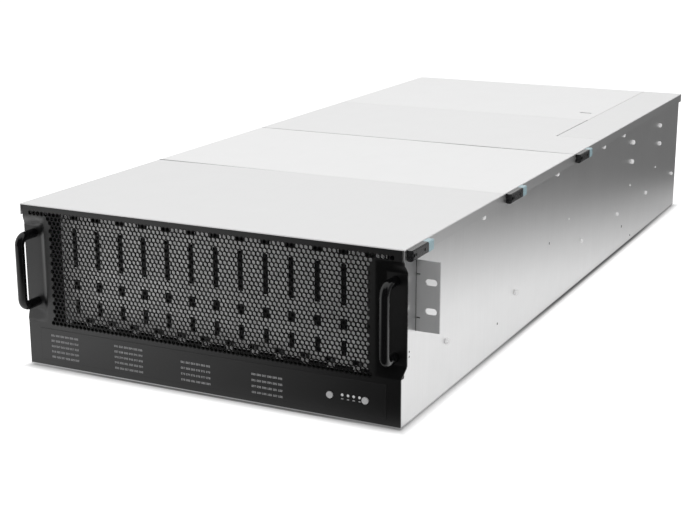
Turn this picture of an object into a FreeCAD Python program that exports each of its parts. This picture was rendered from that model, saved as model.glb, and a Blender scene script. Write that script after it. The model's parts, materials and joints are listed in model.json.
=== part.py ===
"""Four-unit storage array: 108 upright drives under lift-off lids, in a rack chassis.

The model is laid out with y = 0 at the face of the front panel, y growing to the rear, x = 0 on
the centre line and z = 0 under the base. On export everything moves so that the origin is the
middle of the base.
"""
import FreeCAD
import Part
import math
import os

V = FreeCAD.Vector
X_AXIS = V(1, 0, 0)
Y_AXIS = V(0, 1, 0)
Z_AXIS = V(0, 0, 1)

# Chassis, in millimetres
BODY_WIDTH = 434.7
BODY_DEPTH = 1060.0
BODY_HEIGHT = 176.0
SHEET = 1.2
FIT = 0.3
WALL_FLANGE = 13.0
BASE_LIP = 4.0

# Lids
LID_OVERHANG = 3.15
LID_SKIRT = 12.0
LID_BEND = 1.0
LID_SEAT = 0.2
FRONT_LID_LENGTH = 264.0
MIDDLE_LID_LENGTH = 248.0
REAR_LID_LENGTH = 248.0
TIGHT_SEAM = 0.4
OPEN_SEAM = 2.4
BAY_COVER_INSET = 2.4
BAY_COVER_LEAD = 138.0
BAY_COVER_GAP = 1.4
FINGER_SLOT_INSET = 21.5
FINGER_SLOT_SETBACK = 58.0
FINGER_SLOT_LENGTH = 17.0
FINGER_SLOT_WIDTH = 5.0

# Lid latches
LATCH_SETBACK = 2.0
LATCH_LENGTH = 38.0
LATCH_THICKNESS = 6.5
LATCH_HEIGHT = 10.6
LATCH_DROP = 0.7
LATCH_TAB = 13.0
LATCH_BEVEL = 1.0
PIVOT_PIN = 1.2
PIVOT_FIT = 0.08
LUG_THICKNESS = 2.8
LUG_ROUND = 2.5

# Front panel
PANEL_SHEET = 1.5
PANEL_RETURN = 14.0
POCKET_DEPTH = 5.7
POCKET_WIDTH = 27.35
POCKET_LOW = 49.0
POCKET_TOP_GAP = 12.0
POCKET_SLOPE_SIDE = 10.0
POCKET_SLOPE_LOW = 12.3
POCKET_SLOPE_HIGH = 12.2
POCKET_FLARE = 3.5
GRILLE_SIDE = 32.35
GRILLE_LOW = 46.6
GRILLE_TOP_GAP = 6.6
CELL_PITCH = 31.0
CELL_WEB = 4.6
GRILLE_RIM = 2.5

# Handles
HANDLE_BAR = 9.8
HANDLE_INSET = 8.85
HANDLE_REACH = 18.75
HANDLE_END_GAP = 15.2
HANDLE_BEND = 8.8

# Rack ears
EAR_REACH = 23.95
EAR_PLANE = 34.3
EAR_SHEET = 2.0
EAR_BASE_FRONT = 10.0
EAR_HEIGHT = 70.0
EAR_TOP_GAP = 18.0
EAR_SLOT_INSET = 8.75
EAR_SLOT_SPACING = 28.575
EAR_SLOT_LENGTH = 12.0
EAR_SLOT_WIDTH = 6.8
EAR_NOTCH_LENGTH = 4.0
EAR_NOTCH_WIDTH = 1.2
EAR_NOTCH_SPACING = 43.0

# Indicator film and buttons
FILM = 0.25
FILM_SIDE = 14.85
FILM_LOW = 7.0
FILM_HIGH = 42.3
BUTTON_RADIUS = 3.5
BUTTON_PROUD = 1.2
BUTTON_TRAVEL = 1.2
BUTTON_RIM = 1.5
BUTTON_Z = 22.9
POWER_BUTTON_INSET = 21.9
IDENTIFY_BUTTON_INSET = 59.8
BUTTON_FIT = 0.3
BOARD = 1.6
BOARD_SETBACK = 12.0
BOARD_MARGIN = 3.0
SWITCH_SIZE = 6.0
POST = 5.0
POST_INSET = 5.0

# Drives and their cage
COLUMN_PITCH = 28.8
COLUMN_GAP = 2.7
ROW_PITCH = 103.2
ROW_GAP = 1.6
DRIVE_HEADROOM = 5.2
CAGE_FRONT = 27.5
CAGE_SIDE = 27.35
CAGE_TOP_GAP = 12.0
FIRST_ROW_GAP = 5.0
DIVIDER = 0.8
DIVIDER_HEIGHT = 105.0
DIVIDER_LIFT = 9.0
RAIL_HEIGHT = 14.8
RAIL_WIDTH = 8.0
RAIL_COUNT = 4
SOCKET_LENGTH = 44.0
SOCKET_HEIGHT = 5.0

# Cut-outs of the slotted wall: place in the column pitch, width, then lowest and highest edge
# as shares of the wall's height
WALL_SLOTS = ((0.0, 11.0, 0.952, 0.983), (0.0, 6.0, 0.640, 0.896), (0.0, 8.0, 0.490, 0.559),
              (0.0, 6.0, 0.325, 0.424), (0.0, 20.8, 0.085, 0.268), (0.5, 11.0, 0.278, 0.312))

# Fans and shelves
FAN_SPACING = 7.1
FAN_HEADROOM = 13.6
FAN_DEPTH = 38.0
FAN_GAP = 4.0
FAN_COUNT = 4
FAN_WALL = 2.0
FAN_HUB_SHARE = 0.447
FAN_TIP_GAP = 1.5
FAN_BLADES = 5
FAN_HUB_SIDES = 10
FAN_DUCT_SIDES = 20
FAN_BLADE_THICKNESS = 1.6
FAN_BLADE_PITCH = 40.0
FAN_STRUT = 5.0
FAN_BASE = 5.0
FAN_CHORD_SHARE = 0.8
FAN_SHAFT = 2.0
FAN_REAR_GAP = 14.0
FAN_RUNNING_GAP = 1.0

# Rear bays
MODULE_SIDE = 1.2
MODULE_DEPTH = 84.0
MODULE_GAP = 2.0
FACE_PROUD = 0.8
PORT_WIDTH = 34.0
PORT_HEIGHT = 10.0
PORT_DEPTH = 18.0
PORT_PITCH = 46.0
PORT_Z = 48.0
LEVER_LENGTH = 62.0
LEVER_THICKNESS = 5.0
LEVER_HEIGHT = 10.0
LEVER_Z = 20.0
SUPPLY_SIDE = 2.425
SUPPLY_HEADROOM = 24.3
SUPPLY_DEPTH = 265.0
SUPPLY_TRAVEL_GAP = 0.3
INLET_WIDTH = 27.0
INLET_HEIGHT = 20.0
INLET_DEPTH = 15.0
INLET_PIN_SETBACK = 5.5
INLET_PIN_WIDTH = 2.0
INLET_PIN_HEIGHT = 4.0
INLET_PINS = ((-7.0, -2.0), (0.0, 2.0), (7.0, -2.0))
INLET_Z = 17.0
SUPPLY_HANDLE_BAR = 6.0
SUPPLY_HANDLE_REACH = 22.0
SUPPLY_HANDLE_SPAN = 46.0
SUPPLY_HANDLE_BEVEL = 5.0
SUPPLY_HANDLE_INSET = 9.25
SUPPLY_LATCH_WIDTH = 8.0
SUPPLY_LATCH_HEIGHT = 14.0
SUPPLY_LATCH_REACH = 9.0
SUPPLY_LATCH_INSET = 8.25
SUPPLY_LATCH_TRAVEL = 3.0
VENT_SLOT = 4.0
VENT_PITCH = 9.0
VENT_MARGIN = 4.0
SUPPLY_VENT_RADIUS = 17.0
SUPPLY_VENT_DEPTH = 3.0

# Worked out from the sizes above: chassis and front
HALF = BODY_WIDTH / 2
INNER_HALF = HALF - SHEET
LID_HALF = HALF + LID_OVERHANG
LID_UNDER = BODY_HEIGHT - SHEET
WALL_TOP = LID_UNDER - LID_SEAT
SKIRT_LOW = BODY_HEIGHT - LID_SKIRT
PANEL_BACK = PANEL_SHEET
POCKET_INNER = HALF - POCKET_WIDTH
POCKET_OUTER = HALF + POCKET_FLARE
POCKET_HIGH = BODY_HEIGHT - POCKET_TOP_GAP
POCKET_BACK = POCKET_DEPTH + PANEL_SHEET
GRILLE_HALF_WIDTH = HALF - GRILLE_SIDE
GRILLE_HIGH = BODY_HEIGHT - GRILLE_TOP_GAP
HANDLE_X = HALF - HANDLE_INSET
HANDLE_LOW = POCKET_LOW + HANDLE_END_GAP
HANDLE_HIGH = POCKET_HIGH - HANDLE_END_GAP
EAR_OUTER = HALF + EAR_REACH
EAR_HIGH = BODY_HEIGHT - EAR_TOP_GAP
EAR_LOW = EAR_HIGH - EAR_HEIGHT
EAR_Z = (EAR_LOW + EAR_HIGH) / 2
EAR_SLOT_X = EAR_OUTER - EAR_SLOT_INSET
FILM_HALF_WIDTH = HALF - FILM_SIDE
POWER_BUTTON_X = FILM_HALF_WIDTH - POWER_BUTTON_INSET
IDENTIFY_BUTTON_X = FILM_HALF_WIDTH - IDENTIFY_BUTTON_INSET

# Worked out: drives and their cage
CAGE_HALF_WIDTH = HALF - CAGE_SIDE
CAGE_HEIGHT = BODY_HEIGHT - CAGE_TOP_GAP
WALL_COLUMNS = int(2 * CAGE_HALF_WIDTH / COLUMN_PITCH)
DRIVE_COLUMNS = WALL_COLUMNS - 1
FIRST_COLUMN = -(WALL_COLUMNS - 1) / 2 * COLUMN_PITCH
CAGE_LEFT = -CAGE_HALF_WIDTH
CAGE_RIGHT = FIRST_COLUMN + (DRIVE_COLUMNS - 0.5) * COLUMN_PITCH + SHEET
ROWS_FRONT = CAGE_FRONT + SHEET + FIRST_ROW_GAP
DRIVE_ROWS = int((BODY_DEPTH - SHEET - MODULE_DEPTH - ROWS_FRONT) / ROW_PITCH)
FRONT_ROWS = (DRIVE_ROWS + 1) // 2
REAR_ROWS = DRIVE_ROWS - FRONT_ROWS
ROWS_REAR = ROWS_FRONT + DRIVE_ROWS * ROW_PITCH
DRIVE_THICKNESS = COLUMN_PITCH - COLUMN_GAP
DRIVE_WIDTH = ROW_PITCH - ROW_GAP
BACKPLANE_Z = SHEET + RAIL_HEIGHT
SOCKET_Z = BACKPLANE_Z + BOARD
DRIVE_Z = SOCKET_Z + SOCKET_HEIGHT
DRIVE_TOP = LID_UNDER - DRIVE_HEADROOM

# Worked out: fans and rear bays
BAY_LEFT = CAGE_LEFT + SHEET
BAY_WIDTH = CAGE_RIGHT - BAY_LEFT
BAY_CENTRE = (BAY_LEFT + CAGE_RIGHT) / 2
FAN_SIZE = BAY_WIDTH / FAN_COUNT - FAN_SPACING
FAN_PITCH = FAN_SIZE + FAN_GAP
FAN_BORE = FAN_SIZE / 2 - FAN_WALL
FAN_HUB = FAN_BORE * FAN_HUB_SHARE
SHELF_Z = WALL_TOP - FAN_HEADROOM - FAN_SIZE - SHEET
FAN_Z = SHELF_Z + SHEET + FAN_SIZE / 2
FAN_BACK = BODY_DEPTH - SHEET - FAN_REAR_GAP
FAN_FRONT = FAN_BACK - FAN_DEPTH
VENT_RADIUS = FAN_SIZE / 2 - VENT_MARGIN
FACE_Y = BODY_DEPTH + FACE_PROUD
MODULE_LOW = SHEET + FIT
MODULE_HEIGHT = SHELF_Z - FIT - MODULE_LOW
MODULE_WIDTH = (BAY_WIDTH - MODULE_GAP) / 2 - MODULE_SIDE
SUPPLY_X = (CAGE_RIGHT + SHEET + INNER_HALF) / 2
SUPPLY_WIDTH = INNER_HALF - CAGE_RIGHT - SHEET - 2 * SUPPLY_SIDE
SUPPLY_LOW = SHEET + SUPPLY_TRAVEL_GAP
SUPPLY_STACK = WALL_TOP - SUPPLY_HEADROOM - SUPPLY_LOW
SUPPLY_HEIGHT = (SUPPLY_STACK - SHEET - 2 * SUPPLY_TRAVEL_GAP) / 2
SUPPLY_PITCH = SUPPLY_HEIGHT + 2 * SUPPLY_TRAVEL_GAP + SHEET
SUPPLY_SHELF_Z = SUPPLY_LOW + SUPPLY_HEIGHT + SUPPLY_TRAVEL_GAP
SUPPLY_HANDLE_X = SUPPLY_X - SUPPLY_WIDTH / 2 + SUPPLY_HANDLE_INSET
SUPPLY_LATCH_X = SUPPLY_X + SUPPLY_WIDTH / 2 - SUPPLY_LATCH_INSET

# Worked out: lids and latches
SEAM_1 = FRONT_LID_LENGTH
SEAM_2 = SEAM_1 + MIDDLE_LID_LENGTH
SEAM_3 = SEAM_2 + REAR_LID_LENGTH
BAY_COVER_EDGE = CAGE_RIGHT + BAY_COVER_INSET
BAY_COVER_FRONT = SEAM_3 - BAY_COVER_LEAD
FINGER_SLOT_X = BAY_COVER_EDGE - FINGER_SLOT_INSET
FINGER_SLOT_Y = SEAM_3 + FINGER_SLOT_SETBACK
LATCH_Z = BODY_HEIGHT - LATCH_DROP - LATCH_HEIGHT / 2
LATCH_X = LID_HALF + FIT + LATCH_THICKNESS / 2
LID_SPANS = {
    "front_lid": (0.0, SEAM_1 - TIGHT_SEAM),
    "middle_lid": (SEAM_1, SEAM_2 - OPEN_SEAM),
    "rear_lid": (SEAM_2, SEAM_3 - TIGHT_SEAM),
    "tail_lid": (SEAM_3, BODY_DEPTH),
}
LATCHED_LIDS = ("front_lid", "middle_lid", "rear_lid")


def block(x0, x1, y0, y1, z0, z1):
    """A box between two corners."""
    return Part.makeBox(x1 - x0, y1 - y0, z1 - z0, V(x0, y0, z0))


def rod(radius, start, axis, length):
    """A round bar from a point along an axis."""
    return Part.makeCylinder(radius, length, V(*start), axis)


def join(shapes):
    """One solid from pieces that touch or overlap."""
    first = shapes[0]
    return first.fuse(shapes[1:]).removeSplitter()


def mirrored(shape):
    """The same piece on the other side of the centre line."""
    return shape.mirror(V(0, 0, 0), X_AXIS)


def extruded(points, direction):
    """A prism on a closed outline."""
    outline = Part.makePolygon([V(*p) for p in points] + [V(*points[0])])
    return Part.Face(outline).extrude(direction)


def round_edges(shape, radius, wanted):
    """Round the edges whose middle point passes a test."""
    edges = []
    for edge in shape.Edges:
        middle = edge.valueAt((edge.FirstParameter + edge.LastParameter) / 2)
        if wanted(edge, middle):
            edges.append(edge)
    return shape.makeFillet(radius, edges)


def bevel_edges(shape, size, wanted):
    """Bevel the edges whose middle point passes a test."""
    edges = []
    for edge in shape.Edges:
        middle = edge.valueAt((edge.FirstParameter + edge.LastParameter) / 2)
        if wanted(edge, middle):
            edges.append(edge)
    return shape.makeChamfer(size, edges)


def runs_along(edge, axis):
    """True for a straight edge parallel to an axis."""
    if not isinstance(edge.Curve, Part.Line):
        return False
    return abs(abs(edge.Curve.Direction.dot(axis)) - 1) < 1e-6


def near(a, b):
    return abs(a - b) < 1e-4


def save(name, shape):
    """Write one node, moved so that the origin is the middle of the base."""
    placed = shape.copy()
    placed.translate(V(0, -BODY_DEPTH / 2, 0))
    placed.exportStep("parts/" + name + ".step")


def base_pan():
    """Flat floor under the front panel too, with a short lip behind it."""
    floor = block(-HALF, HALF, 0, BODY_DEPTH, 0, SHEET)
    lip = block(-INNER_HALF + FIT, INNER_HALF - FIT, PANEL_BACK, PANEL_BACK + SHEET, SHEET, SHEET + BASE_LIP)
    return join([floor, lip])


def right_side_panel():
    """Folded sheet: a wall with inward flanges, a front notch for the pocket and a slot for the ear."""
    wall = block(INNER_HALF, HALF, PANEL_BACK, BODY_DEPTH, SHEET, WALL_TOP)
    flange_front = PANEL_BACK + PANEL_RETURN
    head = block(HALF - WALL_FLANGE, HALF, flange_front, BODY_DEPTH - SHEET, WALL_TOP - SHEET, WALL_TOP)
    foot_rear = BODY_DEPTH - SUPPLY_DEPTH - WALL_FLANGE
    foot = block(HALF - WALL_FLANGE, HALF, flange_front, foot_rear, SHEET, 2 * SHEET)
    notch = block(INNER_HALF - 1, HALF + 1, 0, POCKET_BACK + FIT, POCKET_LOW - FIT, POCKET_HIGH + FIT)
    ear_slot = block(INNER_HALF - 1, HALF + 1, EAR_PLANE - FIT, EAR_PLANE + EAR_SHEET + FIT,
                     EAR_LOW - FIT, EAR_HIGH + FIT)
    return join([wall, head, foot]).cut([notch, ear_slot])


def pocket_space(shift):
    """The hollow of the right handle pocket, or the same form moved back by the sheet."""
    floor_inner = POCKET_INNER + POCKET_SLOPE_SIDE
    floor_low = POCKET_LOW + POCKET_SLOPE_LOW
    floor_high = POCKET_HIGH - POCKET_SLOPE_HIGH
    mouth = [(POCKET_INNER, POCKET_LOW), (HALF, POCKET_LOW), (HALF, POCKET_HIGH), (POCKET_INNER, POCKET_HIGH)]
    floor = [(floor_inner, floor_low), (POCKET_OUTER, floor_low),
             (POCKET_OUTER, floor_high), (floor_inner, floor_high)]
    wires = []
    for outline, depth in ((mouth, shift), (floor, shift + POCKET_DEPTH)):
        points = [V(x, depth, z) for x, z in outline]
        wires.append(Part.makePolygon(points + points[:1]))
    return Part.makeLoft(wires, True, True)


def button_holes(depth_from, depth_to):
    """Round holes for the two buttons."""
    return Part.makeCompound([rod(BUTTON_RADIUS + BUTTON_FIT, (x, depth_from, BUTTON_Z), Y_AXIS,
                                  depth_to - depth_from) for x in (POWER_BUTTON_X, IDENTIFY_BUTTON_X)])


def front_panel():
    """Black sheet with a handle pocket pressed in at each side and a window for the grille."""
    plate = block(-HALF, HALF, 0, PANEL_BACK, SHEET, WALL_TOP)
    lintel = block(-INNER_HALF, INNER_HALF, PANEL_BACK, PANEL_BACK + PANEL_RETURN - FIT,
                   WALL_TOP - PANEL_SHEET, WALL_TOP)
    hollow = pocket_space(0)
    backing = pocket_space(PANEL_SHEET)
    panel = join([plate, lintel, hollow, backing, mirrored(hollow), mirrored(backing)])
    panel = panel.cut([hollow, mirrored(hollow)])
    window = block(-GRILLE_HALF_WIDTH, GRILLE_HALF_WIDTH, -1, PANEL_BACK, GRILLE_LOW, GRILLE_HIGH)
    return panel.cut([window, button_holes(-1, PANEL_BACK + 1)])


def hexagon(x, z, across_flats):
    """Corners of a hexagon with a point at the top, in the plane of the front panel."""
    radius = across_flats / math.sqrt(3)
    corners = []
    for i in range(6):
        angle = math.radians(60 * i + 30)
        corners.append((x + radius * math.cos(angle), -1, z + radius * math.sin(angle)))
    return corners


def front_grille():
    """Perforated sheet: staggered rows of hexagons in the window of the front panel."""
    sheet = block(-GRILLE_HALF_WIDTH, GRILLE_HALF_WIDTH, 0, PANEL_BACK, GRILLE_LOW, GRILLE_HIGH)
    flats = CELL_PITCH - CELL_WEB
    row_pitch = CELL_PITCH * math.sqrt(3) / 2
    reach_z = (GRILLE_HIGH - GRILLE_LOW) / 2 - GRILLE_RIM - flats / math.sqrt(3)
    reach_x = GRILLE_HALF_WIDTH - GRILLE_RIM - flats / 2
    rows = int(2 * reach_z / row_pitch) + 1
    middle = (GRILLE_LOW + GRILLE_HIGH) / 2
    holes = []
    for row in range(rows):
        z = middle + (row - (rows - 1) / 2) * row_pitch
        shift = (row % 2) / 2
        count = int(reach_x / CELL_PITCH + 1)
        for i in range(-count, count + 1):
            x = (i + shift) * CELL_PITCH
            if abs(x) <= reach_x:
                holes.append(extruded(hexagon(x, z, flats), V(0, PANEL_BACK + 2, 0)))
    return sheet.cut(holes)


def front_handle():
    """U handle of round bar on the floor of the right pocket, each bend made of two mitres."""
    radius = HANDLE_BAR / 2
    low = HANDLE_LOW + radius
    high = HANDLE_HIGH - radius
    cut = HANDLE_BEND * (1 - math.tan(math.pi / 8))
    route = [(POCKET_DEPTH, high), (cut - HANDLE_REACH, high), (-HANDLE_REACH, high - cut),
             (-HANDLE_REACH, low + cut), (cut - HANDLE_REACH, low), (POCKET_DEPTH, low)]
    path = Part.makePolygon([V(HANDLE_X, y, z) for y, z in route])
    ring = Part.Wire([Part.makeCircle(radius, V(HANDLE_X, POCKET_DEPTH, high), Y_AXIS)])
    return path.makePipeShell([ring], True, False, 1)


def right_rack_ear():
    """Bent bracket: base inside the side panel, flange out through its slot with two rack screw slots."""
    back = EAR_PLANE + EAR_SHEET
    inner = INNER_HALF - EAR_SHEET
    base = block(inner, INNER_HALF, EAR_BASE_FRONT, back, EAR_LOW, EAR_HIGH)
    flange = block(inner, EAR_OUTER, EAR_PLANE, back, EAR_LOW, EAR_HIGH)
    ear = join([base, flange])
    cuts = []
    straight = (EAR_SLOT_LENGTH - EAR_SLOT_WIDTH) / 2
    for z in (EAR_Z - EAR_SLOT_SPACING / 2, EAR_Z + EAR_SLOT_SPACING / 2):
        half_width = EAR_SLOT_WIDTH / 2
        cuts.append(block(EAR_SLOT_X - straight, EAR_SLOT_X + straight, EAR_PLANE - 1, back + 1,
                          z - half_width, z + half_width))
        for x in (EAR_SLOT_X - straight, EAR_SLOT_X + straight):
            cuts.append(rod(half_width, (x, EAR_PLANE - 1, z), Y_AXIS, EAR_SHEET + 2))
    for z in (EAR_Z - EAR_NOTCH_SPACING / 2, EAR_Z + EAR_NOTCH_SPACING / 2):
        cuts.append(block(inner - 1, HALF + EAR_NOTCH_LENGTH, EAR_PLANE - EAR_NOTCH_LENGTH, back + 1,
                          z - EAR_NOTCH_WIDTH / 2, z + EAR_NOTCH_WIDTH / 2))
    return ear.cut(cuts)


def indicator_film():
    """Thin printed film along the foot of the front panel."""
    film = block(-FILM_HALF_WIDTH, FILM_HALF_WIDTH, -FILM, 0, FILM_LOW, FILM_HIGH)
    return film.cut(button_holes(-FILM - 1, 1))


def push_button(x):
    """Cap through the panel and a square foot that stops it behind the panel and works its switch."""
    front = -FILM - BUTTON_PROUD
    foot_front = PANEL_BACK + FIT
    foot_back = BOARD_SETBACK - SWITCH_SIZE / 2 - BUTTON_TRAVEL - FIT
    half = BUTTON_RADIUS + BUTTON_RIM
    cap = rod(BUTTON_RADIUS, (x, front, BUTTON_Z), Y_AXIS, foot_front - front)
    foot = block(x - half, x + half, foot_front, foot_back, BUTTON_Z - half, BUTTON_Z + half)
    return join([cap, foot])


def control_board():
    """Circuit board on four posts behind the film, with a switch behind each button."""
    low = FILM_LOW - BOARD_MARGIN + BASE_LIP
    high = FILM_HIGH + BOARD_MARGIN
    half = FILM_HALF_WIDTH
    board = block(-half, half, BOARD_SETBACK, BOARD_SETBACK + BOARD, low, high)
    switches = []
    for x in (POWER_BUTTON_X, IDENTIFY_BUTTON_X):
        switches.append(block(x - SWITCH_SIZE / 2, x + SWITCH_SIZE / 2, BOARD_SETBACK - SWITCH_SIZE / 2,
                              BOARD_SETBACK, BUTTON_Z - SWITCH_SIZE / 2, BUTTON_Z + SWITCH_SIZE / 2))
    posts = []
    for x in (-half + POST_INSET, half - POST_INSET):
        for z in (low + POST_INSET, high - POST_INSET):
            posts.append(block(x - POST / 2, x + POST / 2, PANEL_BACK, BOARD_SETBACK,
                               z - POST / 2, z + POST / 2))
    return Part.makeCompound([join([board] + switches)] + posts)


def drive_wall():
    """Slotted front wall of the drive cage, on a foot flange."""
    wall = block(-CAGE_HALF_WIDTH, CAGE_HALF_WIDTH, CAGE_FRONT, CAGE_FRONT + SHEET, SHEET, CAGE_HEIGHT)
    foot = block(-CAGE_HALF_WIDTH, CAGE_HALF_WIDTH, CAGE_FRONT - WALL_FLANGE, CAGE_FRONT, SHEET, 2 * SHEET)
    cuts = []
    for column in range(WALL_COLUMNS):
        x = FIRST_COLUMN + column * COLUMN_PITCH
        for place, width, low, high in WALL_SLOTS:
            left = x + place * COLUMN_PITCH - width / 2
            if left + width < CAGE_HALF_WIDTH:
                cuts.append(block(left, left + width, CAGE_FRONT - 1, CAGE_FRONT + SHEET + 1,
                                  low * CAGE_HEIGHT, high * CAGE_HEIGHT))
    return join([wall, foot]).cut(cuts)


def cage_walls():
    """Left and right walls of the drive cage."""
    front = CAGE_FRONT + SHEET
    left = block(CAGE_LEFT, CAGE_LEFT + SHEET, front, BODY_DEPTH - SHEET, SHEET, CAGE_HEIGHT)
    right = block(CAGE_RIGHT, CAGE_RIGHT + SHEET, front, BODY_DEPTH - SHEET, SHEET, CAGE_HEIGHT)
    return Part.makeCompound([left, right])


def column_dividers():
    """Thin guides between the drive columns."""
    sheets = []
    for column in range(1, DRIVE_COLUMNS):
        x = FIRST_COLUMN + (column - 0.5) * COLUMN_PITCH
        low = DRIVE_Z + DIVIDER_LIFT
        sheets.append(block(x - DIVIDER / 2, x + DIVIDER / 2, CAGE_FRONT + SHEET, ROWS_REAR,
                            low, low + DIVIDER_HEIGHT))
    return Part.makeCompound(sheets)


def backplane(first_row, rows):
    """Circuit board under some rows of drives."""
    front = ROWS_FRONT + first_row * ROW_PITCH
    rear = front + rows * ROW_PITCH
    return block(CAGE_LEFT + SHEET + FIT, CAGE_RIGHT - FIT, front + FIT, rear - FIT, BACKPLANE_Z, SOCKET_Z)


def backplane_rails():
    """Long rails that carry the backplanes on the base."""
    left = CAGE_LEFT + SHEET
    spacing = (CAGE_RIGHT - left) / RAIL_COUNT
    rails = []
    for i in range(RAIL_COUNT):
        x = left + (i + 0.5) * spacing
        rails.append(block(x - RAIL_WIDTH / 2, x + RAIL_WIDTH / 2, ROWS_FRONT, ROWS_REAR, SHEET, BACKPLANE_Z))
    return Part.makeCompound(rails)


def drive_sockets():
    """One socket strip a row, across all columns."""
    last = FIRST_COLUMN + (DRIVE_COLUMNS - 1) * COLUMN_PITCH
    strips = []
    for row in range(DRIVE_ROWS):
        y = ROWS_FRONT + (row + 0.5) * ROW_PITCH
        strips.append(block(FIRST_COLUMN - DRIVE_THICKNESS / 2, last + DRIVE_THICKNESS / 2,
                            y - SOCKET_LENGTH / 2, y + SOCKET_LENGTH / 2, SOCKET_Z, DRIVE_Z))
    return Part.makeCompound(strips)


def drives(first_row, rows):
    """One upright drive for each place in some rows."""
    boxes = []
    for row in range(first_row, first_row + rows):
        y = ROWS_FRONT + (row + 0.5) * ROW_PITCH
        for column in range(DRIVE_COLUMNS):
            x = FIRST_COLUMN + column * COLUMN_PITCH
            boxes.append(block(x - DRIVE_THICKNESS / 2, x + DRIVE_THICKNESS / 2, y - DRIVE_WIDTH / 2,
                               y + DRIVE_WIDTH / 2, DRIVE_Z, DRIVE_TOP))
    return Part.makeCompound(boxes)


def fan_centres():
    return [BAY_CENTRE + (i - (FAN_COUNT - 1) / 2) * FAN_PITCH for i in range(FAN_COUNT)]


def fan_prism(sides, apothem, x, front, back):
    """A many-sided bar on a fan's axis: it stands for a round one with fewer faces."""
    radius = apothem / math.cos(math.pi / sides)
    corners = []
    for i in range(sides):
        angle = 2 * math.pi * i / sides
        corners.append((x + radius * math.sin(angle), front, FAN_Z + radius * math.cos(angle)))
    return extruded(corners, V(0, back - front, 0))


def fan_frame(x):
    """Square frame with a duct, a bar across its back, a motor base and its shaft."""
    half = FAN_SIZE / 2
    frame = block(x - half, x + half, FAN_FRONT, FAN_BACK, FAN_Z - half, FAN_Z + half)
    duct = fan_prism(FAN_DUCT_SIDES, FAN_BORE, x, FAN_FRONT - 1, FAN_BACK + 1)
    frame = frame.cut(duct)
    base = fan_prism(FAN_HUB_SIDES, FAN_HUB, x, FAN_BACK - FAN_BASE, FAN_BACK)
    shaft = rod(FAN_SHAFT, (x, FAN_FRONT + FAN_BASE, FAN_Z), Y_AXIS, FAN_DEPTH - FAN_BASE)
    strut = block(x - half, x + half, FAN_BACK - FAN_BASE, FAN_BACK,
                  FAN_Z - FAN_STRUT / 2, FAN_Z + FAN_STRUT / 2)
    return join([frame, base, shaft, strut])


def fan_rotor(x):
    """Hub on the shaft with twisted blades."""
    front = FAN_FRONT + FAN_RUNNING_GAP
    back = FAN_BACK - FAN_BASE - FAN_RUNNING_GAP
    hub = fan_prism(FAN_HUB_SIDES, FAN_HUB, x, front, back)
    tip = FAN_BORE - FAN_TIP_GAP
    chord = (back - front) * FAN_CHORD_SHARE
    spread = chord / 2 * math.sin(math.radians(FAN_BLADE_PITCH)) + FAN_BLADE_THICKNESS
    root = FAN_HUB - FAN_BASE
    blades = []
    for i in range(FAN_BLADES):
        blade = block(-FAN_BLADE_THICKNESS / 2, FAN_BLADE_THICKNESS / 2, -chord / 2, chord / 2, root,
                      math.sqrt(tip ** 2 - spread ** 2))
        blade.rotate(V(0, 0, 0), Z_AXIS, FAN_BLADE_PITCH)
        blade.rotate(V(0, 0, 0), Y_AXIS, 360.0 * i / FAN_BLADES)
        blade.translate(V(x, (front + back) / 2, FAN_Z))
        blades.append(blade)
    rotor = join([hub] + blades)
    bore = rod(FAN_SHAFT + PIVOT_FIT, (x, front + FAN_BASE - FAN_RUNNING_GAP - FIT, FAN_Z), Y_AXIS, FAN_DEPTH)
    return rotor.cut(bore)


def rear_shelves():
    """Shelf over the module bay that carries the fans, and the shelf between the power supplies."""
    front = BODY_DEPTH - SHEET - MODULE_DEPTH
    fans = block(CAGE_LEFT + SHEET, CAGE_RIGHT, front, BODY_DEPTH - SHEET, SHELF_Z, SHELF_Z + SHEET)
    supply_front = BODY_DEPTH - SUPPLY_DEPTH
    supplies = block(CAGE_RIGHT + SHEET, INNER_HALF, supply_front, BODY_DEPTH,
                     SUPPLY_SHELF_Z, SUPPLY_SHELF_Z + SHEET)
    return Part.makeCompound([fans, supplies])


def slot_group(x, z, radius, face, depth):
    """Upright vent slots that fill a circle."""
    slots = []
    count = int((radius - VENT_SLOT) / VENT_PITCH)
    for i in range(-count, count + 1):
        half = math.sqrt(radius ** 2 - (i * VENT_PITCH) ** 2)
        slots.append(block(x + i * VENT_PITCH - VENT_SLOT / 2, x + i * VENT_PITCH + VENT_SLOT / 2,
                           face - depth, face + 1, z - half, z + half))
    return slots


def rear_panel():
    """Rear sheet over the fans and supplies, with a leg down the left channel and vent slots."""
    inner = BODY_DEPTH - SHEET
    top = block(-INNER_HALF, CAGE_RIGHT + SHEET, inner, BODY_DEPTH, SHELF_Z, WALL_TOP)
    leg = block(-INNER_HALF, CAGE_LEFT + SHEET, inner, BODY_DEPTH, SHEET, SHELF_Z)
    lintel = block(-HALF + WALL_FLANGE + FIT, CAGE_RIGHT, inner - WALL_FLANGE, inner,
                   WALL_TOP - SHEET, WALL_TOP)
    supply_top = SUPPLY_LOW + SUPPLY_PITCH + SUPPLY_HEIGHT
    brow = block(CAGE_RIGHT, INNER_HALF, inner, BODY_DEPTH, supply_top + SUPPLY_TRAVEL_GAP, WALL_TOP)
    slots = []
    for x in fan_centres():
        slots += slot_group(x, FAN_Z, VENT_RADIUS, BODY_DEPTH, SHEET + 1)
    return join([top, leg, lintel, brow]).cut(slots)


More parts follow.
